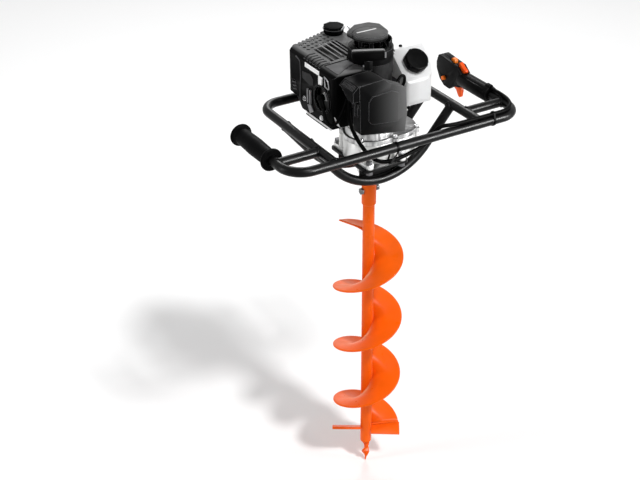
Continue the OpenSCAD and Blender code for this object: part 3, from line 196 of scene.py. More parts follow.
join(sheet, glow_level.outputs[0], glow.inputs["Strength"])
join(sheet, matte.outputs[0], both.inputs[0])
join(sheet, glow.outputs[0], both.inputs[1])
join(sheet, both.outputs[0], sheet.nodes.new("ShaderNodeOutputMaterial").inputs[0])
floor_data.materials.append(paper)
print("floor and world ready")

# %% [markdown]
# The shadow in the photograph falls back and to the left, and it is fairly sharp. So the key light is a
# sun with a disc of a few degrees, high in front and a little to the right. Weak boxes fill in from
# the sides and draw the long highlights on the tubes and the sheen on the top faces.


# %% Lamps
def lamp(kind, name, place, target, strength, size=None):
    light = bpy.data.lights.new(name, kind)
    light.energy = strength
    if size:
        light.shape = "RECTANGLE"
        light.size, light.size_y = size
    made = bpy.data.objects.new(name, light)
    scene.collection.objects.link(made)
    aim = (Vector(place) - Vector(target)).to_track_quat("Z", "Y")
    made.matrix_world = Matrix.Translation(place) @ aim.to_matrix().to_4x4()
    print(name, strength)
    return light


ENGINE_MIDDLE = (0, 0, 0.95)
key = lamp("SUN", "key", (0.81, -4.23, 6.95), ENGINE_MIDDLE, 1.95)
key.angle = math.radians(7)
lamp("AREA", "left_strip", (-2.5, 0.7, 1.3), (0, 0, 0.6), 20, (0.4, 2.0))
lamp("AREA", "right_strip", (2.0, -1.6, 1.0), (0, 0, 0.6), 14, (0.4, 2.0))
lamp("AREA", "back_box", (1.4, 2.3, 2.5), ENGINE_MIDDLE, 34, (1.2, 0.8))
lamp("AREA", "front_strip", (1.16, -2.18, 1.75), ENGINE_MIDDLE, 240, (1.9, 0.6))
bpy.data.objects["front_strip"].visible_diffuse = False

# %% [markdown]
# ## Finishes
# Each finish is a Principled shader fed by a few noise textures on Object coordinates. Object
# coordinates are measured in metres from the origin, so a pattern has a real size. Nothing is a flat
# colour: paint clouds a little, cast metal is grainy, and moulded plastic has a fine texture.


# %% Node helpers
class Finish:
    """A material whose nodes are added one call at a time."""

    def __init__(self, name, slot):
        self.material = bpy.data.materials.new(name)
        self.material.use_nodes = True
        self.tree = self.material.node_tree
        self.shader = self.tree.nodes["Principled BSDF"]
        self.place = self.tree.nodes.new("ShaderNodeTexCoord").outputs["Object"]
        self.slot = slot
        print("finish", name)

    def put(self, kind, mode=None, **values):
        node = self.tree.nodes.new("ShaderNode" + kind)
        if mode:
            setattr(node, "data_type" if kind == "Mix" else "operation", mode)
        for name, value in values.items():
            node.inputs[name.replace("_", " ")].default_value = value
        return node

    def noise(self, size, detail=3.0, rough=0.5, stretch=None):
        node = self.put("TexNoise", Scale=1 / size, Detail=detail, Roughness=rough)
        source = self.place
        if stretch:
            mapping = self.put("Mapping", Scale=stretch)
            join(self.tree, source, mapping.inputs["Vector"])
            source = mapping.outputs[0]
        join(self.tree, source, node.inputs["Vector"])
        return node.outputs[0]

    def spread(self, source, low, high, start=0.3, end=0.7):
        node = self.put("MapRange", From_Min=start, From_Max=end, To_Min=low, To_Max=high)
        join(self.tree, source, node.inputs["Value"])
        return node.outputs[0]

    def blend(self, factor, first, second):
        node = self.put("Mix", "RGBA")
        for spot, colour in ((6, first), (7, second)):
            if isinstance(colour, tuple):
                node.inputs[spot].default_value = (*colour, 1)
            else:
                join(self.tree, colour, node.inputs[spot])
        join(self.tree, factor, node.inputs[0])
        return node.outputs[2]

    def calc(self, operation, first, second=None):
        node = self.put("Math", operation)
        for spot, value in enumerate((first, second)):
            if isinstance(value, (int, float)):
                node.inputs[spot].default_value = value
            elif value is not None:
                join(self.tree, value, node.inputs[spot])
        return node.outputs[0]

    def axis(self, name):
        node = self.put("SeparateXYZ")
        join(self.tree, self.place, node.inputs[0])
        return node.outputs[name]

    def feed(self, name, source):
        join(self.tree, source, self.shader.inputs[name])

    def fix(self, **values):
        for key, value in values.items():
            self.shader.inputs[key.replace("_", " ")].default_value = value

    def bump(self, height, depth, under=None):
        node = self.put("Bump", Distance=depth)
        join(self.tree, height, node.inputs["Height"])
        if under:
            join(self.tree, under, node.inputs["Normal"])
        self.feed("Normal", node.outputs[0])
        return node.outputs[0]


def shade(colour, factor):
    return tuple(min(1.0, c * factor) for c in colour)


# %% [markdown]
# ### Paint
# The bit wears a bright orange coat sprayed straight on steel. A spray coat is never quite level: it has
# orange peel a few millimetres across and clouds of slightly deeper colour. The tubes have the same
# coat in satin black.


# %% Sprayed paint
def sprayed(name, colour, rough, peel, specular, deeper=0.86):
    f = Finish(name, name)
    f.feed("Base Color", f.blend(f.spread(f.noise(0.05, 4), 0, 1), colour, shade(colour, deeper)))
    f.feed("Roughness", f.spread(f.noise(0.02, 5), rough - 0.06, rough + 0.1))
    f.fix(Specular_IOR_Level=specular)
    orange_peel = f.bump(f.noise(0.0035, 2), peel)
    f.bump(f.noise(0.0006, 2), peel * 0.15, orange_peel)
    return f


orange_paint = sprayed("orange_paint", (0.93, 0.122, 0.002), 0.32, 0.00012, 0.12)
orange_paint.fix(Sheen_Weight=0.3, Sheen_Roughness=0.35, Sheen_Tint=(1.0, 0.62, 0.36, 1))
black_paint = sprayed("black_paint", (0.0012, 0.0012, 0.0013), 0.31, 0.000012, 0.14, 0.7)

# %% [markdown]
# ### Moulded plastic
# Moulded covers carry the texture of their mould: a fine leather-like grain under a millimetre across.
# It scatters the highlight. Their edges are lighter, partly worn with use and partly a painted highlight: a
# Bevel node rounds the normal near an edge, and where it leaves the true one, the colour is lifted.


# %% Moulded plastic
def moulded(name, colour, rough, slot, grain=0.00004, specular=0.25, edge_wear_and_highlight=None, extra=None):
    f = Finish(name, slot)
    body = f.blend(f.spread(f.noise(0.03, 3), 0, 1), colour, shade(colour, 1.35))
    if extra:
        body = extra(f, body)
    # Lifts the edge colour: partly wear, partly a painted highlight.
    if edge_wear_and_highlight:
        edge = f.put("Bevel", Radius=0.0016)
        geometry = f.put("NewGeometry")
        turned = f.put("VectorMath", "DOT_PRODUCT")
        join(f.tree, edge.outputs[0], turned.inputs[0])
        join(f.tree, geometry.outputs["Normal"], turned.inputs[1])
        body = f.blend(f.spread(turned.outputs["Value"], 0.85, 0, 0.8, 0.99), body, edge_wear_and_highlight)
    f.feed("Base Color", body)
    f.feed("Roughness", f.spread(f.noise(0.012, 4), rough - 0.05, rough + 0.08))
    f.fix(Specular_IOR_Level=specular)
    f.bump(f.noise(0.0009, 3, 0.7), grain)
    return f


def painted_light_ramp(axis, start, end, value, power=1.0):
    """Paints light and shade along one axis: the colour fades to a grey from start to end in millimetres."""
    def extra(f, body):
        rise = f.spread(f.axis(axis), 0, 1, start * MM, end * MM)
        return f.blend(f.calc("POWER", rise, power), body, (value, value, value))
    return extra


def painted_handle_top_light(f, body):
    """Paints a grey highlight on the top of the pull handle, but only behind its front edge."""
    back = f.calc("ADD", f.calc("MULTIPLY", f.axis("X"), 0.44), f.calc("MULTIPLY", f.axis("Y"), 0.9))
    high = f.calc("GREATER_THAN", f.axis("Z"), (ENGINE_Z + 143) * MM)
    lit_top = f.calc("MULTIPLY", high, f.spread(back, 0, 1, -0.0615, -0.0595))
    return f.blend(lit_top, body, (0.22, 0.22, 0.22))


RING_R, RING_HALF, BAR_Y, BAR_HALF, BAR_REACH = 35.5 * MM, 1.1 * MM, 16 * MM, 1.9 * MM, 22 * MM


def lid_light_and_print(f, body):
    """Greys the lid's top as painted light, and prints a thin dark ring and a blank white bar on it."""
    body = painted_light_ramp("Z", ENGINE_Z + 147, ENGINE_Z + 150, 0.058)(f, body)
    x, y, z = (f.axis(name) for name in "XYZ")
    reach = f.calc("SQRT", f.calc("ADD", f.calc("MULTIPLY", x, x), f.calc("MULTIPLY", y, y)))
    ring = f.calc("LESS_THAN", f.calc("ABSOLUTE", f.calc("SUBTRACT", reach, RING_R)), RING_HALF)
    body = f.blend(ring, body, (0.006, 0.006, 0.006))
    across = f.calc("LESS_THAN", f.calc("ABSOLUTE", f.calc("SUBTRACT", y, BAR_Y)), BAR_HALF)
    length = f.calc("LESS_THAN", f.calc("ABSOLUTE", x), BAR_REACH)
    top = f.calc("GREATER_THAN", z, (ENGINE_Z + 154) * MM)
    return f.blend(f.calc("MULTIPLY", f.calc("MULTIPLY", across, length), top), body, (0.75, 0.75, 0.75))


# The edge colour is partly wear and partly a painted highlight.
EDGE_WEAR_AND_HIGHLIGHT, BLACK = (0.2, 0.2, 0.205), (0.001, 0.001, 0.0011)
black_plastic = moulded("black_plastic", BLACK, 0.38, "black_plastic", specular=0.035)
cover_plastic = moulded("cover_plastic", BLACK, 0.42, "black_plastic", specular=0.04, edge_wear_and_highlight=EDGE_WEAR_AND_HIGHLIGHT)
# The shroud's top fades to grey: painted light on the faces that look up.
shroud_plastic = moulded("shroud_plastic", BLACK, 0.42, "black_plastic", 0.00004, 0.025, EDGE_WEAR_AND_HIGHLIGHT,
                         painted_light_ramp("Z", ENGINE_Z + 101, ENGINE_Z + 104.5, 0.13))
lid_plastic = moulded("lid_plastic", (0.003, 0.003, 0.0032), 0.45, "black_plastic", 0.00003, 0.05, EDGE_WEAR_AND_HIGHLIGHT, lid_light_and_print)
handle_plastic = moulded("handle_plastic", BLACK, 0.4, "black_plastic", 0.00003, 0.04, None, painted_handle_top_light)
heat_black = moulded("heat_black", (0.0008, 0.0008, 0.0009), 0.6, "black_plastic", 0.00005, 0.02)
# The filter cover is black, faded to grey towards its right side: painted light.
filter_plastic_lit_right = moulded("filter_plastic_lit_right", (0.002, 0.002, 0.0022), 0.46, "black_plastic", 0.00004, 0.03, EDGE_WEAR_AND_HIGHLIGHT,
                       painted_light_ramp("X", -78, 14, 0.17, 1.9))
side_grey = moulded("side_grey", (0.018, 0.018, 0.0185), 0.5, "black_plastic", specular=0.08)
panel_grey = moulded("panel_grey", (0.06, 0.06, 0.062), 0.5, "black_plastic", specular=0.06)
light_grey = moulded("light_grey", (0.22, 0.22, 0.225), 0.5, "black_plastic", specular=0.2)
orange_plastic = moulded("orange_plastic", (0.95, 0.085, 0.003), 0.38, "orange_plastic", 0.00002, 0.2)
bright_orange = moulded("bright_orange", (1.0, 0.19, 0.012), 0.38, "orange_plastic", 0.00002, 0.2)
shell_plastic = moulded("shell_plastic", BLACK, 0.42, "black_plastic", specular=0.06)
black_rubber = moulded("black_rubber", (0.0008, 0.0008, 0.0009), 0.5, "black_rubber", 0.00008, 0.03)
label_white = moulded("label_white", (0.9, 0.9, 0.9), 0.35, "zinc_steel", 0.00001)

# %% [markdown]
# ### Metals
# Castings are grainy and a little cloudy, turned steel has a fine grain, and zinc plate is bright with soft
# blotches. Each is a metal shader whose roughness changes from place to place.


# %% Castings and steel
def metal(name, colour, rough, grain_size, grain, cloud=0.85, metallic=1.0, slot=None):
    f = Finish(name, slot or name)
    f.feed("Base Color", f.blend(f.spread(f.noise(0.018, 4), 0, 1), colour, shade(colour, cloud)))
    f.feed("Roughness", f.spread(f.noise(0.006, 5), rough - 0.08, rough + 0.1))
    f.fix(Metallic=metallic)
    f.bump(f.noise(grain_size, 4, 0.6), grain)
    return f


def darker_up_faces(f, plain_colour, top_colour):
    """Streaks the colour and darkens the faces that look up."""
    up = f.put("SeparateXYZ")
    join(f.tree, f.place.node.outputs["Normal"], up.inputs[0])
    streaks = f.blend(f.spread(f.noise(0.012, 3, 0.5, (1, 1, 0.2)), 0, 1, 0.4, 0.6), plain_colour, shade(plain_colour, 0.4))
    f.feed("Base Color", f.blend(f.spread(up.outputs["Z"], 0, 1, 0.4, 0.9), streaks, top_colour))


cast_aluminium = metal("cast_aluminium", (0.72, 0.72, 0.71), 0.42, 0.0012, 0.00009)
cover_casting = metal("cover_casting", (0.6, 0.6, 0.6), 0.44, 0.0012, 0.00009, slot="cast_aluminium")
darker_up_faces(cover_casting, (0.72, 0.72, 0.72), (0.12, 0.12, 0.12))
fin_casting = metal("fin_casting", (0.07, 0.07, 0.07), 0.5, 0.0012, 0.00009, 0.6, slot="cast_aluminium")
dark_bolt = metal("dark_bolt", (0.14, 0.14, 0.145), 0.34, 0.002, 0.00002, 0.7, slot="zinc_steel")
black_casting = metal("black_casting", (0.016, 0.016, 0.0165), 0.42, 0.001, 0.00007, 0.6, 0.0)
black_casting.fix(Specular_IOR_Level=0.16)
zinc_steel = metal("zinc_steel", (0.78, 0.78, 0.79), 0.26, 0.002, 0.00002, 0.88)
gear_steel = metal("gear_steel", (0.42, 0.42, 0.43), 0.34, 0.0007, 0.00002, 0.8)
muffler_steel = metal("muffler_steel", (0.05, 0.048, 0.046), 0.55, 0.0014, 0.00005, 0.6, 0.6)
ceramic = moulded("ceramic", (0.8, 0.79, 0.76), 0.2, "ceramic", 0.00001, 0.5)

# %% [markdown]
# ### Tank and bulb
# The tank is milky polyethylene. Light enters it and spreads, so it looks white all through with
# soft edges: that is subsurface scattering. A little light of its own stands for what passes through
# from behind. The primer bulb is a clear rubbery plastic.

# %% Milky and clear plastics
# The tank's white fades to a darker grey towards its left side: painted shade.
white_tank = moulded("white_tank", (0.4, 0.4, 0.4), 0.38, "white_tank", 0.00003, 0.4, None,
                     painted_light_ramp("X", 46, 80, 0.88, 0.8))
white_tank.fix(Subsurface_Weight=0.35, Subsurface_Scale=0.012, Subsurface_Radius=(1.0, 0.95, 0.9))
white_tank.fix(Emission_Color=(1, 1, 1, 1), Emission_Strength=0.03)
clear_bulb = moulded("clear_bulb", (0.72, 0.75, 0.72), 0.15, "clear_bulb", 0.00001, 0.5)
clear_bulb.fix(Transmission_Weight=0.7, IOR=1.45)

# %% [markdown]
# ## Cords in place
# The cable and the lead are black rubber over wire; the fuel line is a softer dark hose. A poly curve
# with a round bevel is the right tool, because it keeps one thickness along a bent path. The same
# tool later draws weld beads and raised moulding lines.


# %% Make a tube along a route
def tube(name, path, diameter, finish, body, node=None, closed=False):
    curve = bpy.data.curves.new(name, "CURVE")
    curve.dimensions = "3D"
    curve.bevel_depth = diameter / 2
    curve.bevel_resolution = 3
    curve.use_fill_caps = True
    line = curve.splines.new("POLY")
    line.points.add(len(path) - 1)
    for spot, place in zip(line.points, path):
        spot.co = (*place, 1)
    line.use_cyclic_u = closed
    line.use_smooth = True
    made = bpy.data.objects.new(name, curve)
    scene.collection.objects.link(made)
    curve.materials.append(finish.material)
    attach(made, body)
    if node:
        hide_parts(node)
    return made


# %% Throttle cable, ignition lead and fuel line
for name, points, diameter, stiffness, lay, node in (
        ("cable_line", cable_points, 0.008, "stiff", "taut", "throttle_cable"),
        ("plug_lead", lead_points, 0.006, "medium", "hanging", "ignition_lead"),
        ("fuel_hose", line_points, 0.006, "medium", "taut", "fuel_line")):
    path = smooth_route(points)
    cord = tube(name, path, diameter, black_rubber, "frame", node)
    print(name, round(length_of(path) * 1000), "mm long")

# %% [markdown]
# ## Finishes for the CAD nodes
# Every node that stays visible takes the finish of its own material. The table below is the parts list
# read the other way round: finish first, then the pieces that wear it.

# %% Give each node its finish
finish_of = {}
for finish, names in (
        (orange_paint, "bit_shaft bit_flight cutting_blades bit_point"),
        (black_paint, "front_handlebar rear_loop front_cradle_tube rear_cradle_tube side_braces mount_plate"),
        (zinc_steel, "gearbox_screws crank_bearings gearbox_bearings throttle_cam"),
        (dark_bolt, "retaining_bolt frame_bolts"),
        (gear_steel, "output_shaft output_gear counter_shaft counter_gear input_pinion clutch_drum crankshaft"),
        (cast_aluminium, "gearbox_case clutch_housing flywheel carburettor"),
        (cover_casting, "gearbox_cover"), (fin_casting, "engine_cylinder"),
        (black_casting, "crankcase clutch_shoe_left clutch_shoe_right"),
        (black_rubber, "left_grip throttle_cable ignition_lead plug_cap fuel_line output_seal"),
        (shell_plastic, "throttle_shell_inner throttle_shell_outer"), (black_plastic, "cable_ties choke_lever"),
        (black_plastic, "air_filter_base fuel_cap starter_pulley ignition_coil"), (heat_black, "exhaust_cap"),
        (shroud_plastic, "cylinder_shroud"), (lid_plastic, "starter_housing"), (handle_plastic, "pull_handle"),
        (filter_plastic_lit_right, "air_filter_cover filter_latch"),
        (orange_plastic, "throttle_trigger trigger_lockout"), (bright_orange, "stop_switch throttle_hold_button"),
        (muffler_steel, "muffler"), (ceramic, "spark_plug"), (clear_bulb, "primer_bulb"),
        (white_tank, "fuel_tank")):
    for node in names.split():
        finish_of[node] = finish
        nodes[node].data.materials.clear()
        nodes[node].data.materials.append(finish.material)
print(len(finish_of), "nodes finished, left out:", sorted(set(nodes) - set(finish_of)))

# %% [markdown]
# ## Softened edges
# No moulded or cast edge is knife sharp: it has a radius of a millimetre or so, and that thin band is what
# catches the light. A CAD node's mesh isn't touched. A copy is merged, its flat faces are joined,
# and a Bevel modifier rounds every edge sharper than the limit. The copy then stands for the node.
# Where many edges meet in a corner a bevel can throw a vertex far out of the surface. So each setting
# is tried, and its result is measured against the shape before it is kept.


# %% Round a node's edges
EDGE_ANGLE, MERGE_GAP, FLAT_ANGLE = math.radians(32), 0.004 * MM, math.radians(1)
BEVEL_TRIES = (("MITER_ARC", False, 1), ("MITER_SHARP", False, 1), ("MITER_SHARP", False, 0.6),
               ("MITER_SHARP", False, 0.3), ("MITER_SHARP", True, 1))


def rounded(made, tree, edge, segments):
    """Bevels the sharp edges, and keeps the first setting that throws no corner out of the surface."""
    rounding = made.modifiers.new("edges", "BEVEL")
    rounding.segments = segments
    rounding.limit_method = "ANGLE"
    rounding.angle_limit = EDGE_ANGLE
    rounding.harden_normals = True
    for miter, clamp, share in BEVEL_TRIES:
        width = edge * share * MM
        rounding.miter_outer = miter
        rounding.use_clamp_overlap = clamp
        rounding.width = width
        view = bpy.context.evaluated_depsgraph_get()
        view.update()
        stray = max(tree.find_nearest(v.co)[3] for v in made.evaluated_get(view).data.vertices)
        if stray < width:
            return f"{edge * share:.1f} mm {miter.lower()}" + (" clamped" if clamp else "")
    made.modifiers.remove(rounding)
    return "none"


def link_mesh(name, shape, finish, body, edge, segments=2):
    data = bpy.data.meshes.new(name)
    shape.to_mesh(data)
    tree = BVHTree.FromBMesh(shape)
    shape.free()
    data.materials.append(finish.material)
    made = bpy.data.objects.new(name, data)
    scene.collection.objects.link(made)
    if edge:
        print(name, "edge", rounded(made, tree, edge, segments))
    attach(made, body)
    return made


def smooth_faces(shape):
    for face in shape.faces:
        face.smooth = True


def softened(node, edge):
    shape = bmesh.new()
    shape.from_mesh(nodes[node].data)
    bmesh.ops.remove_doubles(shape, verts=shape.verts, dist=MERGE_GAP)
    bmesh.ops.dissolve_limit(shape, angle_limit=FLAT_ANGLE, verts=shape.verts, edges=shape.edges,
                             delimit={"NORMAL"})
    smooth_faces(shape)
    made = link_mesh(node + "_soft", shape, finish_of[node], body_of[node], edge)
    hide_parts(node)
    print(made.name, len(made.data.polygons), "faces")


for edge, names in (
        (1.6, "cylinder_shroud pull_handle"),
        (1.2, "air_filter_cover starter_housing throttle_shell_inner throttle_shell_outer exhaust_cap"),
        (1.0, "gearbox_case gearbox_cover clutch_housing mount_plate fuel_cap muffler"),
        (0.7, "cutting_blades throttle_trigger trigger_lockout stop_switch filter_latch"),
        (0.5, "retaining_bolt frame_bolts gearbox_screws throttle_hold_button choke_lever")):
    for node in names.split():
        softened(node, edge)

# %% [markdown]
# ## Small pieces
# The trim on the covers is made the same way each time: an outline is drawn as one face and extruded, or a
# cylinder is set between two points, and a narrow bevel finishes it. The helpers work in millimetres
# and scale the result once.


# %% Helpers for trim
def plate(points, by):
    def fill(shape):
        face = shape.faces.new([shape.verts.new(p) for p in points])
        grown = bmesh.ops.extrude_face_region(shape, geom=[face])["geom"]
        bmesh.ops.translate(shape, vec=by, verts=[v for v in grown if isinstance(v, bmesh.types.BMVert)])
    return fill


def rod(start, end, width, sides=24, top=None):
    def fill(shape):
        a, b = Vector(start), Vector(end)
        aim = (b - a).to_track_quat("Z", "Y").to_matrix().to_4x4()
        bmesh.ops.create_cone(shape, cap_ends=True, segments=sides, radius1=width / 2,
                              radius2=(width if top is None else top) / 2, depth=(b - a).length,
                              matrix=Matrix.Translation((a + b) / 2) @ aim)
    return fill


def to_metres(shape):
    """Turns the normals outwards and scales the drawing in millimetres to Blender's metres."""
    bmesh.ops.recalc_face_normals(shape, faces=shape.faces)
    bmesh.ops.scale(shape, vec=(MM, MM, MM), verts=shape.verts)
    smooth_faces(shape)


def piece(name, fills, finish, body="frame", edge=0.4, segments=2):
    shape = bmesh.new()
    for fill in fills:
        fill(shape)
    to_metres(shape)
    made = link_mesh(name, shape, finish, body, edge, segments)
    print(name, len(made.data.polygons), "faces")


def line(name, points, width, finish, closed=False):
    tube(name, smooth_route(points, 6), width * MM, finish, "frame", None, closed)


def ring(middle, radius, place, count=12):
    """Points round a circle, each put in space by place(across, up)."""
    across, up = middle
    angles = [2 * math.pi * i / count for i in range(count)]
    return at_engine([place(across + radius * math.cos(a), up + radius * math.sin(a)) for a in angles])


# %% [markdown]
# ## Left side of the shroud
# The shroud's left wall carries a blank label bar, a recessed panel, a bright cooling stud, two guard ribs and two
# screws. They stand a millimetre or three proud of the wall, which the CAD gives as one plane.

# %% Trim on the left wall
WALL_X = -108.0


def on_wall(outline, out, start=0.4):
    return plate([(WALL_X + start, y, z + ENGINE_Z) for y, z in outline], (-out - start, 0, 0))


def upright(y0, y1, z0, z1):
    return [(y0, z0), (y1, z0), (y1, z1), (y0, z1)]


def hex_screw(name, place, axis, across):
    spot, out = Vector(place), Vector(axis)
    washer = rod(spot, spot + out, across * 1.35)
    head = rod(spot + out * 0.8, spot + out * 3.2, across * 1.15, 6)
    piece(name, [washer, head], zinc_steel, edge=0.3)


piece("label_bar", [on_wall(upright(12, 66, 87, 96), 0.9)], label_white, edge=0.3)
piece("side_panel", [on_wall([(77, 74), (44, 79), (34, 71), (34, 60), (46, 54), (76, 60)], 1.2)], side_grey, edge=0.5)
piece("cooling_stud", [on_wall(upright(-1, 12, 70, 88), 3.2)], label_white, edge=1.2, segments=3)
piece("guard_ribs", [on_wall(upright(y, y + 4, 16, 46), 3.4) for y in (42, 52)], light_grey, edge=0.8)
piece("guard_foot", [on_wall([(56, 12), (42, 15), (33, 4), (47, -4)], 2.4)], light_grey, edge=0.8)
piece("corner_foot", [plate(at_engine([(-107, -39.4, 22), (-104, -39.4, 19), (-92, -39.4, -5), (-101, -39.4, 3)]),
                            (0, -1.6, 0))], label_white, edge=0.6)
piece("louvre_lips", [on_wall([(y, z), (y - 14, z + 3.5), (y - 14, z + 1), (y, z - 2.5)], 1)
                      for y, z in ((117, 38), (115, 31), (115, 24))], panel_grey, edge=0.4)
piece("head_bolts", [rod((-94, y, z + ENGINE_Z), (-99.5, y, z + ENGINE_Z), 6, 6)
                     for y, z in ((21.9, 40.8), (29.4, 29.8))], zinc_steel, edge=0.4)
line("plug_ring", ring((6, 41.5), 26, lambda y, z: (-108.2, y, z)), 1.8, panel_grey, closed=True)
piece("lip_plate", [plate(at_engine([(-107.8, y, z) for y, z in ((62, -6.8), (-37, -6.8), (-30, -11.2), (62, -12))]),
                          (-0.8, 0, 0))], label_white, edge=0.2)
line("lead_clip", at_engine([(-109.3, -9, 93), (-109.3, -22, 88), (-109.3, -25, 73), (-109.3, -12, 74)]), 2.4,
     gear_steel, closed=True)
line("frame_line", at_engine([(-108, 102, 96), (-108, 88, 92), (-108, 85, 83), (-108, 84, 57), (-108, 86, 39),
                              (-108, 87, 14), (-108, 84, 1)]), 2.6, panel_grey)
line("bottom_lip", at_engine([(-108.2, 63, -12), (-108.2, 30, -12.3), (-108.2, -17, -12)]), 2.6, black_plastic)
for number, (y, z) in enumerate(((70, 18), (4, 2))):
    hex_screw(f"shroud_screw_{number}", (WALL_X + 0.4, y, z + ENGINE_Z), (-1, 0, 0), 8)

# %% [markdown]
# ## Top of the shroud
# In front of the vents the top is a separate paler panel with a step. Beside the exhaust a bright
# spring clip holds the guard down.

# %% Top panel and clip
DECK_Z = 104.6


def on_deck(outline, height, start=DECK_Z):
    return plate(at_engine([(x, y, start) for x, y in outline]), (0, 0, height))


piece("top_panel", [on_deck([(-97, 8), (-35.5, 13.5), (-43, -6), (-49.4, -12), (-73, -23), (-93, -38), (-97, -36)],
                            1.2)], panel_grey)
piece("top_step", [on_deck([(-97, 10.5), (-97, 13), (-36, 18.5), (-36, 16)], 1.8)], black_plastic, edge=0.5)
# The bars between the vents are light grey so that they read as lit inside the starter's shadow: painted light.
piece("slot_bars", [on_deck([(x - 0.9, 40), (x + 0.9, 40), (x + 2.9, 112), (x + 1.1, 112)], 1.2, DECK_Z - 0.2)
                    for x in (-52, -40, -28, -19)], light_grey, edge=0.3)
line("guard_clip", at_engine([(22, 118, 105.2), (24.5, 118, 113), (24.5, 118, 121), (19, 118, 127), (12, 118, 126.5),
                              (9, 121, 120), (8, 124.5, 117)]), 3, zinc_steel)
line("cap_rim", ring((4, 145), 21.4, lambda x, y: (x, y, 117)), 1.3, panel_grey, closed=True)

# %% [markdown]
# ## Starter and tank fittings
# The starter's right side is closed by a wall between the deck and the lid. A keyhole eyelet and a bracket
# sit on the fan housing, and the tank has a vent and a drain stub.

# %% Starter wall
WALL_LOW, WALL_HIGH, WALL_OUT, WALL_IN = 1035.8, 1050.2, 41, 38.6
WALL_FROM, WALL_SWEEP = math.radians(-62), math.radians(120)
shape = bmesh.new()
corners = [shape.verts.new(p) for p in ((WALL_IN, 0, WALL_LOW), (WALL_OUT, 0, WALL_LOW), (WALL_OUT, 0, WALL_HIGH),
                                        (WALL_IN, 0, WALL_HIGH))]
profile = shape.faces.new(corners)
bmesh.ops.rotate(shape, verts=corners, cent=(0, 0, 0), matrix=Matrix.Rotation(WALL_FROM, 3, "Z"))
bmesh.ops.spin(shape, geom=[profile], cent=(0, 0, 0), axis=(0, 0, 1), angle=WALL_SWEEP, steps=30)
to_metres(shape)
link_mesh("starter_wall", shape, cover_plastic, "frame", 0.8)
print("starter wall made")

# %% Fittings
piece("eyelet", [rod((-33.4, -29.6, ENGINE_Z + 96), (-33.4, -29.6, ENGINE_Z + 108), 4.6)], label_white, edge=1.2)
piece("handle_end", [plate(at_engine([(-13.6, -69.6, 133), (-10.9, -71, 133), (-10.9, -71, 144),
                                      (-13.6, -69.6, 144)]), (-0.5, -1.0, 0))], light_grey, "rope_handle", 0.5)
piece("tank_bracket", [plate(at_engine([(45, -4, 110), (45, 14, 118), (45, 12, 96), (45, 0, 98)]), (9, 0, 0))],
      black_plastic, edge=1.4)
hex_screw("bracket_screw", (49, -3.4, ENGINE_Z + 106), (0, -1, 0), 5)
piece("tank_vent", [rod((75.5, 10, ENGINE_Z + 108.5), (75.5, 10, ENGINE_Z + 112), 7)], black_rubber, edge=0.8)
piece("drain_stub", [rod((60, -46, ENGINE_Z + 6), (60, -46, ENGINE_Z + 0.5), 7, 24, 5)], black_rubber, edge=0.5)

# %% [markdown]
# ## Weld beads
# Where one tube butts against another the welder leaves a bead that follows the saddle between the two
# round walls. The saddle is simple to compute: go round the branch tube, and push each point outwards
# until it meets the wall of the main tube.


# %% Beads on the frame
BEAD_POINTS, BEAD_D, BEAD_RIPPLES = 48, 3.4, 11


def bead(name, centre, branch, main):
    centre, out, along = Vector(centre), Vector(branch).normalized(), Vector(main)
    side, reach = out.cross(along), TUBE_R + 0.3
    path = []
    for i in range(BEAD_POINTS):
        a = 2 * math.pi * i / BEAD_POINTS
        lift = TUBE_R * abs(math.cos(a)) + 0.6 + 0.35 * math.sin(BEAD_RIPPLES * a)
        path.append((centre + along * reach * math.cos(a) + side * reach * math.sin(a) + out * lift) * MM)
    tube(name, path, BEAD_D * MM, black_paint, "frame", None, True)


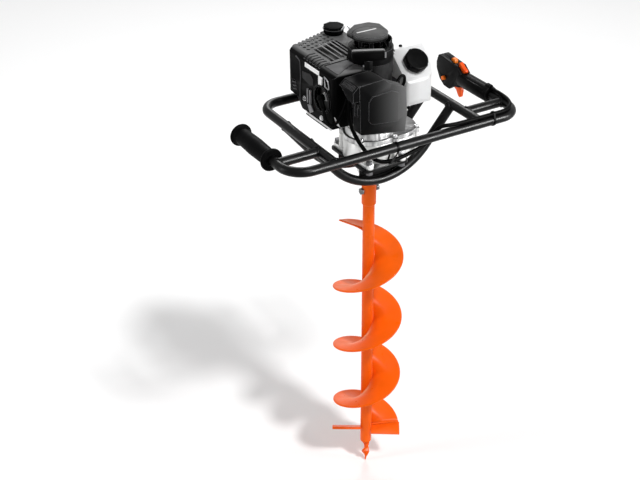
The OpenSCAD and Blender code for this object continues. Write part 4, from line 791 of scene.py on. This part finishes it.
slope = math.radians(50)
for side, sign in (("left", -1), ("right", 1)):
    bead(side + "_front_bead", (sign * LOOP_X, FRONT_Y, HANDLE_Z), (0, 1, 0), (1, 0, 0))
    bead(side + "_brace_bead_in", (sign * LOOP_X, BRACE_Y, HANDLE_Z), (sign, 0, 0), (0, 1, 0))
    bead(side + "_brace_bead_out", (sign * GRIP_X, BRACE_Y, HANDLE_Z), (-sign, 0, 0), (0, 1, 0))
    for place, y in (("front", -CRADLE_Y), ("rear", CRADLE_Y)):
        bead(f"{side}_{place}_cradle_bead", (sign * LOOP_X, y, HANDLE_Z),
             (-sign * math.cos(slope), 0, -math.sin(slope)), (0, 1, 0))
print("ten weld beads")

# %% [markdown]
# ## The flight
# The spiral blade is one steel strip wound round the shaft. In Blender that is a Spin with a rise: the strip's
# cross-section turns about the shaft and climbs a little at each step. Its outer edge is worn round.
# Two smaller spins lay the weld beads between the strip and the shaft.

# %% Wind the strip and its welds
PITCH, LOW_Z, HIGH_Z, PHASE_Z, STEP = 152.7, 108.0, 624.0, 117.4, 4.0


def wind(name, section, node=None):
    shape = bmesh.new()
    start, total = (LOW_Z - PHASE_Z) / PITCH * 360, (HIGH_Z - LOW_Z) / PITCH * 360
    steps = round(total / STEP)
    corners = [shape.verts.new((r, 0, LOW_Z + z)) for r, z in section]
    face = shape.faces.new(corners)
    bmesh.ops.rotate(shape, verts=corners, cent=(0, 0, 0), matrix=Matrix.Rotation(math.radians(start), 3, "Z"))
    bmesh.ops.spin(shape, geom=[face], cent=(0, 0, 0), axis=(0, 0, 1), dvec=(0, 0, (HIGH_Z - LOW_Z) / steps),
                   angle=math.radians(total), steps=steps)
    to_metres(shape)
    made = link_mesh(name, shape, orange_paint, "bit", 0)
    if node:
        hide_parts(node)
    print(name, len(made.data.polygons), "faces")


wind("flight_strip", [(12.1, -2.5), (40, -2.1), (70, -1.7), (74.2, -1.5), (75, -0.7), (75, 0.7), (74.2, 1.5),
                      (70, 1.7), (40, 2.1), (12.1, 2.5)], "bit_flight")
wind("flight_weld_top", [(12.2, 2.2), (14.0, 2.1), (13.5, 2.9), (12.9, 3.5), (12.2, 3.7)])
wind("flight_weld_under", [(12.2, -3.7), (12.9, -3.5), (13.5, -2.9), (14.0, -2.1), (12.2, -2.2)])
piece("blade_weld", [rod((12, -3.5, 105), (69.6, -29.4, 106), 5.4, 16)], orange_paint, "bit", 1.2)
